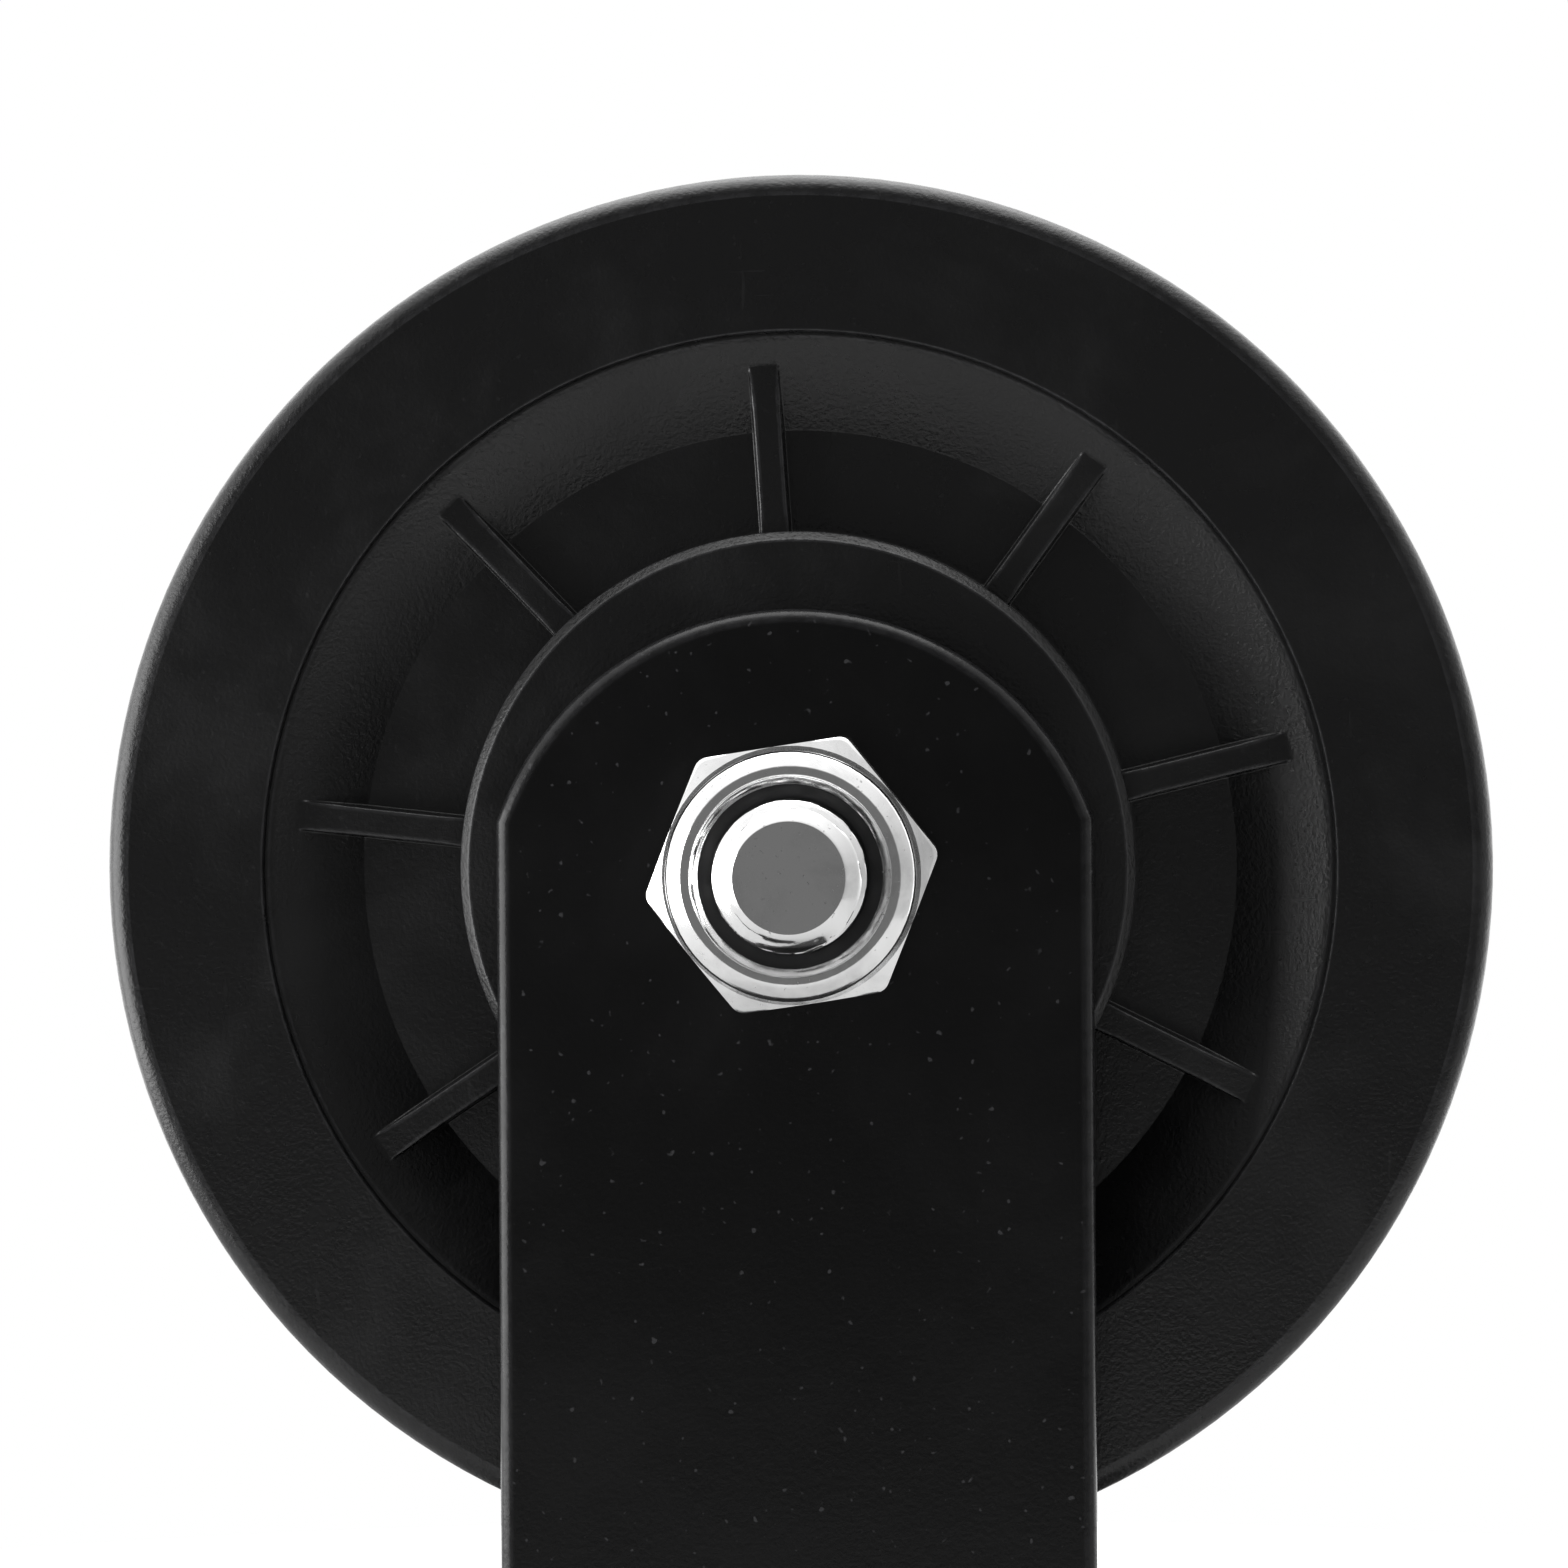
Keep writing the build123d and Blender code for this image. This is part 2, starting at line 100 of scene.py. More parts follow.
SOFTBOXES = (
    ("Left softbox", (-0.60, -0.165, 0.06), 0.6, 0.5, "key_power"),
    ("Overhead softbox", (0.0, 0.15, 0.9), 0.9, 0.9, "top_power"),
)
LEFT_TO_RIGHT = (-0.6, 1.0)
SIDE_TO_BACK = (0.0, 0.5)
FRONT_CONE = (-0.72, -0.38)
FLOOR_SHADES = ((0.42, 0.42, 0.42), (0.45, 0.45, 0.45))
FLOOR_GLOW = 0.85


# --- sizes and colours that a user would change ---------------------------------------------------


def length(name, description, millimetres):
    """A length property, its default given in millimetres."""
    size = millimetres * MM
    return FloatProperty(
        name=name, description=description, default=size, precision=5, unit="LENGTH", subtype="DISTANCE"
    )


def angle(name, description, degrees):
    """An angle property, its default given in degrees."""
    return FloatProperty(name=name, description=description, default=radians(degrees), subtype="ANGLE")


def colour(name, description, value):
    """A colour property in linear light."""
    return FloatVectorProperty(
        name=name, description=description, default=value, size=3, min=0, max=1, subtype="COLOR"
    )


def share(name, description, value):
    """A plain number from 0 to 1."""
    return FloatProperty(name=name, description=description, default=value, min=0, max=1, subtype="FACTOR")


def watts(name, description, value):
    """The power of a lamp."""
    return FloatProperty(name=name, description=description, default=value, min=0, unit="POWER")


def brightness(name, description, value):
    """The strength of light from one side, 1 being white."""
    return FloatProperty(name=name, description=description, default=value, min=0)


class SheaveSizes(bpy.types.PropertyGroup):
    """Sizes of the moulded wheel."""

    hub_radius: length("Hub radius", "Radius of the raised hub", 23.0)
    hub_chamfer: length("Hub chamfer", "Chamfer round the hub's face", 0.6)
    bore_radius: length("Bearing seat", "Radius of the bearing seats", 13.0)
    shoulder_radius: length("Bore radius", "Radius between the bearings", 11.0)
    seat_depth: length("Seat shoulder", "Half the width between the bearings", 5.0)
    rim_half_width: length("Rim half width", "Middle of the wheel to the rim's face", 11.5)
    web_half_width: length("Web half width", "Middle of the wheel to the web", 8.0)
    dish_radius: length("Dish radius", "Radius where the sloping wall leaves the web", 30.1)
    step_radius: length("Step radius", "Radius of the small step inside the rim", 36.6)
    step_height: length("Step height", "Height of that step", 0.5)
    rim_round: length("Rim rounding", "Radius on the rim's outer edge", 1.5)
    lip_round: length("Lip rounding", "Radius on the groove's lips", 0.8)
    groove_depth: length("Groove depth", "Depth of the cable groove", 9.5)
    groove_root: length("Groove root", "Radius of the groove's floor", 3.5)
    groove_angle: angle("Groove flank", "Angle of each flank", 22.5)
    rib_count: IntProperty(name="Ribs", description="Ribs on each side", default=9, min=3)
    rib_below_rim: length("Rib drop", "Rim's face to a rib's top", 1.4)
    rib_width: length("Rib width", "Width of a rib at half its height", 2.0)
    rib_angle: angle("First rib", "Angle of the first rib", 93.65)


class ForkSizes(bpy.types.PropertyGroup):
    """Sizes of the bent strap."""

    ear_radius: length("Ear radius", "Radius of each ear's top", 21.2)
    ear_above_axle: length("Ear height", "Axle to the ear's top", 17.6)
    thickness: length("Thickness", "Thickness of the strap", 5.0)
    bend_radius: length("Bend radius", "Inner radius of the bends", 4.0)
    outer_round: length("Outer edge", "Rounding of the outer edges", 1.0)
    inner_round: length("Inner edge", "Rounding of the inner edges", 0.35)
    ear_hole: length("Ear hole radius", "Radius of the axle holes", 5.15)
    crown_hole: length("Crown hole radius", "Radius of the bush's hole", 8.5)


class PlateSizes(bpy.types.PropertyGroup):
    """Sizes of the base plate."""

    corner_radius: length("Corner radius", "Radius of the plate's corners", 10.0)
    top_round: length("Top rounding", "Radius on the top edge", 0.8)
    hole_spacing: length("Hole spacing", "Distance between the fixing holes", 60.0)
    hole_radius: length("Hole radius", "Radius of the fixing holes", 4.5)
    hole_chamfer: length("Hole chamfer", "Chamfer on the fixing holes", 0.4)


class FastenerSizes(bpy.types.PropertyGroup):
    """Sizes of the M10 fasteners."""

    across_flats: length("Across flats", "Size of the hexagons", 17.0)
    corner_round: length("Corner rounding", "Radius on the upright edges", 0.95)
    thread_radius: length("Thread radius", "Radius over the crests", 5.0)
    thread_pitch: length("Pitch", "Rise of the thread in one turn", 1.5)
    thread_depth: length("Thread depth", "Depth of the thread", 0.85)
    end_chamfer: length("End chamfer", "Chamfer on the thread's end", 1.35)
    hexagon_height: length("Hexagon height", "Height of a nut's hexagon", 7.1)
    collar_radius: length("Collar radius", "Radius of the crimped collar", 8.2)
    collar_lip: length("Collar lip", "Inner radius of the collar's lip", 6.0)
    nut_height: length("Nut height", "Height of the nut", 10.0)
    nut_turn: angle("Nut turn", "Turn of the axle nut", 8.5)
    head_turn: angle("Head turn", "Turn of the bolt head", 22)


class Finishes(bpy.types.PropertyGroup):
    """Colours and roughness of the surfaces."""

    wheel_colour: colour("Wheel", "Moulded nylon", (0.0036, 0.0036, 0.0038))
    wheel_roughness: share("Wheel roughness", "Roughness of the nylon", 0.32)
    coat_colour: colour("Powder coat", "Coating of the strap and the plate", (0.002, 0.002, 0.0021))
    coat_roughness: share("Coat roughness", "Roughness of the powder coat", 0.31)
    zinc_colour: colour("Zinc", "Zinc plate", (0.93, 0.93, 0.93))
    zinc_roughness: share("Zinc roughness", "Roughness of the zinc plate", 0.10)
    insert_colour: colour("Locking ring", "Nylon of the locking rings", (0.012, 0.012, 0.0125))
    bush_colour: colour("Bush", "Plastic of the bush and its washer", (0.02, 0.02, 0.021))
    steel_colour: colour("Steel", "Turned steel", (0.5, 0.5, 0.51))
    bearing_colour: colour("Bearing steel", "Ground steel", (0.62, 0.62, 0.64))
    cage_colour: colour("Cage", "Natural nylon", (0.55, 0.5, 0.4))
    rubber_colour: colour("Seal", "Rubber", (0.012, 0.012, 0.012))


class StageSettings(bpy.types.PropertyGroup):
    """Camera, floor and light."""

    distance: length("Distance", "Camera to the aim point", 376.5)
    azimuth: angle("Azimuth", "Camera's turn round the block", 1.765)
    elevation: angle("Elevation", "Camera's height angle", 0.783)
    roll: angle("Roll", "Camera's tilt about its own line of sight", -0.347)
    aim_left: length("Aim left", "Aim point, left of the axle", 1.27)
    aim_up: length("Aim up", "Aim point, above the axle", 5.62)
    field_width: length("Field", "Width seen at the aim point", 110.53)
    key_power: watts("Key light", "Power of the left softbox", 4.0)
    top_power: watts("Top light", "Power of the overhead softbox", 6.0)
    floor_radius: length("Floor radius", "Radius of the round floor", 215.0)
    front_light: brightness("Front", "Brightness round the camera", 0.20)
    left_light: brightness("Left", "Brightness from the upper left", 1.5)
    right_light: brightness("Right", "Brightness from the lower right", 0.75)
    back_light: brightness("Back", "Brightness from behind the block", 2.5)


GROUPS = {
    "sheave": SheaveSizes,
    "fork": ForkSizes,
    "plate": PlateSizes,
    "fastener": FastenerSizes,
    "finish": Finishes,
    "stage": StageSettings,
}


class BlockSettings(bpy.types.PropertyGroup):
    """All settings of the block."""

    sheave: PointerProperty(type=SheaveSizes, name="Sheave", description="Sizes of the wheel")
    fork: PointerProperty(type=ForkSizes, name="Fork", description="Sizes of the strap")
    plate: PointerProperty(type=PlateSizes, name="Base plate", description="Sizes of the plate")
    fastener: PointerProperty(type=FastenerSizes, name="Fasteners", description="Sizes of nuts and bolts")
    finish: PointerProperty(type=Finishes, name="Finishes", description="Colours and roughness")
    stage: PointerProperty(type=StageSettings, name="Stage", description="Camera, floor and light")


# --- surfaces -------------------------------------------------------------------------------------


def span(node):
    """Lowest and highest corner of a CAD node."""
    return tuple(np.array(corner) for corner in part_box(node))


def unit(vector):
    """A vector divided by its length."""
    return vector / np.linalg.norm(vector)


def rounded(*corners, steps=6):
    """A line through (x, y) corners, each rounded by its third number, the radius, where it has one.

    The arc's centre lies on the corner's bisector, radius / sin(half the corner's angle) from the corner, and
    its points turn evenly from one tangent point to the other.
    """
    line = [np.array([corners[0][:2]])]
    for before, here, after in zip(corners, corners[1:], corners[2:]):
        corner = np.array(here[:2])
        if len(here) < 3:
            line.append(corner[None])
            continue
        back, ahead = unit(before[:2] - corner), unit(after[:2] - corner)
        half = np.arccos(back @ ahead) / 2
        centre = corner + unit(back + ahead) * here[2] / sin(half)
        start = corner + back * here[2] / tan(half) - centre
        end = corner + ahead * here[2] / tan(half) - centre
        turn = pi - 2 * half
        part = np.linspace(0, 1, steps)[:, None]
        line.append(centre + (np.sin((1 - part) * turn) * start + np.sin(part * turn) * end) / sin(turn))
    line.append(np.array([corners[-1][:2]]))
    return np.concatenate(line)


def margins(line, gap):
    """A line with two more points on each long stretch, a gap from its ends, to keep edge marks at edges."""
    step = np.diff(line, axis=0)
    reach = np.linalg.norm(step, axis=1)[:, None]
    ahead, back = line[:-1] + step / reach * gap, line[1:] - step / reach * gap
    points = np.stack([line[:-1], ahead, back], 1)
    keep = np.concatenate([np.ones_like(reach), reach > 4 * gap, reach > 4 * gap], 1).astype(bool)
    return np.concatenate([points[keep], line[-1:]])


def grid_faces(rows, columns, wrap_rows, wrap_columns):
    """Four-cornered faces between neighbours on a grid whose point (i, j) is number i * columns + j."""
    i = np.arange(rows if wrap_rows else rows - 1)[:, None]
    j = np.arange(columns if wrap_columns else columns - 1)[None, :]
    below, beside = (i + 1) % rows, (j + 1) % columns
    corners = (i * columns + j, i * columns + beside, below * columns + beside, below * columns + j)
    return np.stack(np.broadcast_arrays(*corners), -1).reshape(-1, 4)


def mark_edges(mesh):
    """Stores how sharply each point stands out as the attribute edge: 0 on a flat, 1 on a tight convex edge.

    Along an edge from p to q the surface curves by 2 n.(p - q) / |p - q|^2, n being p's normal. The largest
    of these at a point, times one millimetre, is its mark.
    """
    count = len(mesh.vertices)
    place = np.empty(count * 3)
    mesh.vertices.foreach_get("co", place)
    place = place.reshape(-1, 3)
    facing = np.empty(count * 3)
    mesh.vertex_normals.foreach_get("vector", facing)
    facing = facing.reshape(-1, 3)
    pairs = np.empty(len(mesh.edges) * 2, dtype=int)
    mesh.edges.foreach_get("vertices", pairs)
    pairs = np.concatenate([pairs.reshape(-1, 2), pairs.reshape(-1, 2)[:, ::-1]])
    step = place[pairs[:, 0]] - place[pairs[:, 1]]
    bend = 2 * np.sum(step * facing[pairs[:, 0]], axis=1) / np.maximum(np.sum(step * step, axis=1), 1e-12)
    mark = np.zeros(count)
    np.maximum.at(mark, pairs[:, 0], bend)
    layer = mesh.attributes.new("edge", "FLOAT", "POINT")
    layer.data.foreach_set("value", np.clip(mark * MM, 0, 1).astype(np.float32))


def smooth_faces(piece):
    """Smooth shading that keeps edges over SHARP_ANGLE, with flats holding their normals by roundings."""
    piece.data.shade_smooth()
    piece.data.set_sharp_from_angle(angle=SHARP_ANGLE)
    weigh = piece.modifiers.new("Flat faces lead", "WEIGHTED_NORMAL")
    weigh.keep_sharp = True


def solid(name, *grids):
    """A closed piece from grids of points, each given as (points, wrap rows, wrap columns).

    Points that coincide are merged, which closes poles and seams, and the faces are turned outwards.
    """
    points, faces, count = [], [], 0
    for grid, wrap_rows, wrap_columns in grids:
        faces.append(grid_faces(*grid.shape[:2], wrap_rows, wrap_columns) + count)
        points.append(grid.reshape(-1, 3))
        count += len(points[-1])
    mesh = bpy.data.meshes.new(name)
    mesh.from_pydata(np.concatenate(points).tolist(), [], np.concatenate(faces).tolist())
    work = bmesh.new()
    work.from_mesh(mesh)
    bmesh.ops.remove_doubles(work, verts=work.verts, dist=WELD_DISTANCE)
    bmesh.ops.dissolve_degenerate(work, edges=work.edges, dist=WELD_DISTANCE / 2)
    bmesh.ops.recalc_face_normals(work, faces=work.faces)
    work.to_mesh(mesh)
    work.free()
    piece = bpy.data.objects.new(name, mesh)
    bpy.context.scene.collection.objects.link(piece)
    return piece


def drilled(piece, cutters):
    """Cuts the cutters' shapes out of a piece, and removes the cutters.

    Edges are marked before the holes are there, because a mark on a hole's rim would spread along the long
    triangles beside it.
    """
    mark_edges(piece.data)
    for cutter in cutters:
        cut = piece.modifiers.new("Hole", "BOOLEAN")
        cut.object, cut.operation, cut.solver = cutter, "DIFFERENCE", "EXACT"
    cut_mesh = bpy.data.meshes.new_from_object(piece.evaluated_get(bpy.context.evaluated_depsgraph_get()))
    piece.modifiers.clear()
    piece.data = cut_mesh
    for cutter in cutters:
        bpy.data.objects.remove(cutter)


def placed(piece, body, slot, *nodes):
    """Finishes a piece: its shading, edge marks, material, slot, body and the CAD nodes it stands for."""
    smooth_faces(piece)
    if "edge" not in piece.data.attributes:
        mark_edges(piece.data)
    piece.data.materials.clear()
    piece.data.materials.append(MATERIALS[slot])
    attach(piece, body)
    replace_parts(piece, *nodes)


def turned(radius, height, angles):
    """Points about +Z from radius and height, each one number per row or one per row and angle."""
    radius, height = (np.asarray(a, float) for a in (radius, height))
    radius = radius[:, None] if radius.ndim == 1 else radius
    height = height[:, None] if height.ndim == 1 else height
    radius, height, turn = np.broadcast_arrays(radius, height, angles)
    return np.stack([radius * np.cos(turn), radius * np.sin(turn), height], -1)


def even_angles(count):
    """Angles evenly round a circle."""
    return np.arange(count) * 2 * pi / count


def whole_turn(line):
    """A (radius, height) line carried round +Z."""
    return turned(line[:, 0], line[:, 1], even_angles(ROUND_STEPS))


def stacked(columns, *bands):
    """Joins bands of (radius, height) rows into one radius array and one height array, columns wide."""
    wide = []
    for values in zip(*bands):
        rows = [np.atleast_1d(np.asarray(v, float)) for v in values]
        rows = [v[:, None] if v.ndim == 1 and len(v) != columns else np.atleast_2d(v) for v in rows]
        wide.append(rows)
    out = []
    for rows, partner in (wide, wide[::-1]):
        out.append(
            np.concatenate(
                [np.broadcast_to(r, (max(len(r), len(p)), columns)) for r, p in zip(rows, partner)]
            )
        )
    return out


def axle_height():
    """Height of the axle."""
    low, high = span("sheave_wheel")
    return (low[2] + high[2]) / 2


def along_axle(points, start):
    """Moves points worked out about +Z onto the axle, +Z towards -Y, with height 0 at y = start."""
    x, y, z = np.moveaxis(points, -1, 0)
    return np.stack([x, start - z, axle_height() + y], -1)


def upright(points, bottom):
    """Moves points worked out about +Z up to a height on the swivel's axis."""
    return points + np.array([0, 0, bottom])


# --- materials ------------------------------------------------------------------------------------


def new_group(name, inputs, outputs):
    """A shader node group with float inputs {name: default} and outputs [(name, socket type)]."""
    tree = bpy.data.node_groups.new(name, "ShaderNodeTree")
    for label, default in inputs.items():
        socket = tree.interface.new_socket(label, in_out="INPUT", socket_type="NodeSocketFloat")
        socket.default_value = default
    for label, kind in outputs:
        tree.interface.new_socket(label, in_out="OUTPUT", socket_type=kind)
    return tree, tree.nodes.new("NodeGroupInput"), tree.nodes.new("NodeGroupOutput")


def maths(tree, operation, first, second=None, third=None, clamp=False):
    """A Math node. Each operand is a number or a socket."""
    node = tree.nodes.new("ShaderNodeMath")
    node.operation, node.use_clamp = operation, clamp
    for socket, value in zip(node.inputs, (first, second, third)):
        if value is None:
            continue
        if isinstance(value, (int, float)):
            socket.default_value = value
        else:
            tree.links.new(value, socket)
    return node.outputs[0]


def noise(tree, place, scale, detail=2.0, roughness=0.5, distortion=0.0):
    """A Noise Texture's value, from 0 to 1. The scale is a number or a socket."""
    node = tree.nodes.new("ShaderNodeTexNoise")
    node.inputs["Detail"].default_value = detail
    node.inputs["Roughness"].default_value = roughness
    node.inputs["Distortion"].default_value = distortion
    tree.links.new(place, node.inputs["Vector"])
    if isinstance(scale, (int, float)):
        node.inputs["Scale"].default_value = scale
    else:
        tree.links.new(scale, node.inputs["Scale"])
    return node.outputs["Fac"]


def ranged(tree, value, low, high, to_low=0.0, to_high=1.0):
    """Maps value from low..high to to_low..to_high with a smooth step, held at the ends."""
    node = tree.nodes.new("ShaderNodeMapRange")
    node.interpolation_type = "SMOOTHSTEP"
    for label, number in zip(("From Min", "From Max", "To Min", "To Max"), (low, high, to_low, to_high)):
        node.inputs[label].default_value = number
    tree.links.new(value, node.inputs["Value"])
    return node.outputs["Result"]


def object_place(tree, stretch=None):
    """Object coordinates, stretched by three factors if given."""
    place = tree.nodes.new("ShaderNodeTexCoord").outputs["Object"]
    if stretch is None:
        return place
    mapping = tree.nodes.new("ShaderNodeMapping")
    mapping.inputs["Scale"].default_value = stretch
    tree.links.new(place, mapping.inputs["Vector"])
    return mapping.outputs["Vector"]


def surface_texture_group():
    """Fine texture of a surface: a height made of grain and slow waves, and a mask of pinhead specks."""
    tree, given, out = new_group(
        "Surface texture",
        {"Grain scale": 2500.0, "Wave scale": 300.0, "Speck scale": 1800.0},
        [("Height", "NodeSocketFloat"), ("Specks", "NodeSocketFloat")],
    )
    place = object_place(tree)
    grain = noise(tree, place, given.outputs["Grain scale"], 3.0, 0.6)
    wave = noise(tree, place, given.outputs["Wave scale"], 2.0, 0.5)
    tree.links.new(maths(tree, "MULTIPLY_ADD", wave, 0.8, grain), out.inputs["Height"])
    speck = noise(tree, place, given.outputs["Speck scale"], 1.0, 0.5)
    tree.links.new(ranged(tree, speck, 0.69, 0.77), out.inputs["Specks"])
    return tree


def handling_and_highlight_group():
    """Marks of handling and painted highlight: a blotchy haze, thin scratches one way and another, and convex
    edges made paler, partly as rubbed wear and partly as a painted highlight.
    """
    tree, given, out = new_group(
        "Handling marks",
        {"Haze scale": 60.0, "Edge strength": 1.0},
        [("Haze", "NodeSocketFloat"), ("Scratches", "NodeSocketFloat"), ("Rubbed edge", "NodeSocketFloat")],
    )
    place = object_place(tree)
    blotch = noise(tree, place, given.outputs["Haze scale"], 5.0, 0.62, 0.4)
    tree.links.new(ranged(tree, blotch, 0.42, 0.68), out.inputs["Haze"])
    lines = []
    for stretch in ((180.0, 90.0, 2600.0), (2400.0, 90.0, 260.0)):
        streak = noise(tree, object_place(tree, stretch), 1.0, 1.0, 0.4, 0.6)
        lines.append(ranged(tree, streak, 0.70, 0.76))
    spread = ranged(tree, noise(tree, place, 90.0, 2.0), 0.50, 0.66)
    tree.links.new(maths(tree, "MULTIPLY", maths(tree, "MAXIMUM", *lines), spread), out.inputs["Scratches"])
    # Convex edges: a mask for a paler colour that is partly rubbed wear and partly a painted highlight on the
    # edges.
    edge = tree.nodes.new("ShaderNodeAttribute")
    edge.attribute_name = "edge"
    ragged = ranged(tree, noise(tree, place, 900.0, 3.0, 0.6), 0.35, 0.65, 0.45, 1.0)
    edge_wear_and_highlight = maths(tree, "MULTIPLY", ranged(tree, edge.outputs["Fac"], 0.45, 1.0), ragged)
    tree.links.new(maths(tree, "MULTIPLY", edge_wear_and_highlight, given.outputs["Edge strength"]), out.inputs["Rubbed edge"])
    return tree


def placed_group(tree, group, **values):
    """A group node in a material, with its inputs set: underscores in a name stand for spaces."""
    node = tree.nodes.new("ShaderNodeGroup")
    node.node_tree = group
    for label, value in values.items():
        node.inputs[label.replace("_", " ").capitalize()].default_value = value
    return node.outputs


def blend_colour(tree, factor, first, second):
    """A mix of two colours by a factor socket. Each colour is three numbers or a socket."""
    node = tree.nodes.new("ShaderNodeMix")
    node.data_type = "RGBA"
    tree.links.new(factor, node.inputs["Factor"])
    for socket, value in ((node.inputs["A"], first), (node.inputs["B"], second)):
        if isinstance(value, bpy.types.NodeSocket):
            tree.links.new(value, socket)
        else:
            socket.default_value = (*value, 1.0)
    return node.outputs["Result"]


def tinted(value, factor):
    """A colour made lighter or darker."""
    return tuple(min(1.0, channel * factor) for channel in value)


class Finish:
    """A material under construction, with the two shared groups placed in it."""

    def __init__(self, name, metallic=0.0, specular=0.5, **values):
        self.material = bpy.data.materials.new(name)
        self.material.use_nodes = True
        self.tree = self.material.node_tree
        self.shader = self.tree.nodes["Principled BSDF"]
        self.shader.inputs["Metallic"].default_value = metallic
        self.shader.inputs["Specular IOR Level"].default_value = specular
        texture = {k: v for k, v in values.items() if k in ("grain_scale", "wave_scale", "speck_scale")}
        marks = {k: v for k, v in values.items() if k not in texture}
        self.texture = placed_group(self.tree, GROUP_TREES["texture"], **texture)
        self.marks = placed_group(self.tree, GROUP_TREES["marks"], **marks)

    def link(self, socket, label):
        """Feeds a socket of the shader."""
        self.tree.links.new(socket, self.shader.inputs[label])

    def bump(self, height, depth):
        """Bump of a given depth in metres."""
        node = self.tree.nodes.new("ShaderNodeBump")
        node.inputs["Distance"].default_value = depth
        node.inputs["Strength"].default_value = 1.0
        self.tree.links.new(height, node.inputs["Height"])
        self.link(node.outputs["Normal"], "Normal")


GROUP_TREES = {}
MATERIALS = {}


def moulded_nylon(finish):
    """Black moulded nylon: slow sink waves, fine grain, a dull haze, scuffs and paler edges, partly rubbed
    wear and partly a painted highlight.
    """
    made = Finish(
        "Moulded nylon",
        grain_scale=3200.0,
        wave_scale=240.0,
        speck_scale=2100.0,
        haze_scale=70.0,
        edge_strength=0.8,
    )
    tree, base = made.tree, finish.wheel_colour
    hazed = blend_colour(tree, made.marks["Haze"], base, tinted(base, 1.6))
    scuffed = blend_colour(tree, made.marks["Scratches"], hazed, tinted(base, 2.2))
    # Paler colour on convex edges: partly rubbed wear, partly a painted highlight.
    made.link(blend_colour(tree, made.marks["Rubbed edge"], scuffed, tinted(base, 8.0)), "Base Color")
    dull = maths(tree, "MULTIPLY_ADD", made.marks["Haze"], 0.13, finish.wheel_roughness - 0.05)
    dull = maths(tree, "MULTIPLY_ADD", made.marks["Scratches"], 0.06, dull)
    made.link(maths(tree, "MULTIPLY_ADD", made.texture["Specks"], 0.12, dull, clamp=True), "Roughness")
    made.bump(made.texture["Height"], 0.045 * MM)
    return made.material


def powder_coat(finish):
    """Black powder coat: orange peel, tiny pale specks of dust, and slightly polished edges painted paler,
    partly as wear and partly as a painted highlight.
    """
    made = Finish(
        "Powder coat",
        specular=0.28,
        grain_scale=2600.0,
        wave_scale=700.0,
        speck_scale=1500.0,
        haze_scale=45.0,
        edge_strength=0.6,
    )
    tree, base = made.tree, finish.coat_colour
    hazed = blend_colour(tree, made.marks["Haze"], base, tinted(base, 1.7))
    dusted = blend_colour(tree, made.texture["Specks"], hazed, tinted(base, 22.0))
    # Paler colour on convex edges: partly wear, partly a painted highlight.
    made.link(blend_colour(tree, made.marks["Rubbed edge"], dusted, tinted(base, 12.0)), "Base Color")
    dull = maths(tree, "MULTIPLY_ADD", made.marks["Haze"], 0.08, finish.coat_roughness - 0.03)
    made.link(maths(tree, "MULTIPLY_ADD", made.marks["Rubbed edge"], -0.1, dull, clamp=True), "Roughness")
    made.bump(made.texture["Height"], 0.02 * MM)
    return made.material


def zinc_plate(finish):
    """Bright zinc plate: a grainy sparkle with darker pits, and a faint darker, duller haze."""
    made = Finish(
        "Zinc plate", metallic=1.0, grain_scale=9000.0, wave_scale=500.0, speck_scale=3600.0, haze_scale=160.0
    )
    tree, base = made.tree, finish.zinc_colour
    pitted = blend_colour(tree, made.texture["Specks"], base, tinted(base, 0.6))
    made.link(blend_colour(tree, made.marks["Haze"], pitted, tinted(base, 0.8)), "Base Color")
    dull = maths(tree, "MULTIPLY_ADD", made.marks["Haze"], 0.12, finish.zinc_roughness)
    made.link(maths(tree, "MULTIPLY_ADD", made.texture["Specks"], 0.2, dull, clamp=True), "Roughness")
    made.bump(made.texture["Height"], 0.0012 * MM)
    return made.material


def plain_plastic(name, base, roughness):
    """A small moulded or turned plastic or rubber part, with grain and a light haze."""
    made = Finish(name, grain_scale=3000.0, wave_scale=400.0, speck_scale=2000.0, haze_scale=150.0)
    tree = made.tree
    hazed = blend_colour(tree, made.marks["Haze"], base, tinted(base, 1.5))
    # Paler colour on convex edges, from the same mask: partly wear, partly a painted highlight.
    made.link(blend_colour(tree, made.marks["Rubbed edge"], hazed, tinted(base, 1.9)), "Base Color")
    made.link(maths(tree, "MULTIPLY_ADD", made.marks["Haze"], 0.1, roughness, clamp=True), "Roughness")
    made.bump(made.texture["Height"], 0.008 * MM)
    return made.material


def turned_steel(name, base, roughness):
    """Turned or ground steel: haze, fine grain and darker specks."""
    made = Finish(
        name, metallic=1.0, grain_scale=3500.0, wave_scale=900.0, speck_scale=2500.0, haze_scale=120.0
    )
    tree = made.tree
    stained = blend_colour(tree, made.marks["Haze"], base, tinted(base, 0.75))
    made.link(blend_colour(tree, made.texture["Specks"], stained, tinted(base, 0.5)), "Base Color")
    made.link(maths(tree, "MULTIPLY_ADD", made.marks["Haze"], 0.15, roughness, clamp=True), "Roughness")
    made.bump(made.texture["Height"], 0.005 * MM)
    return made.material


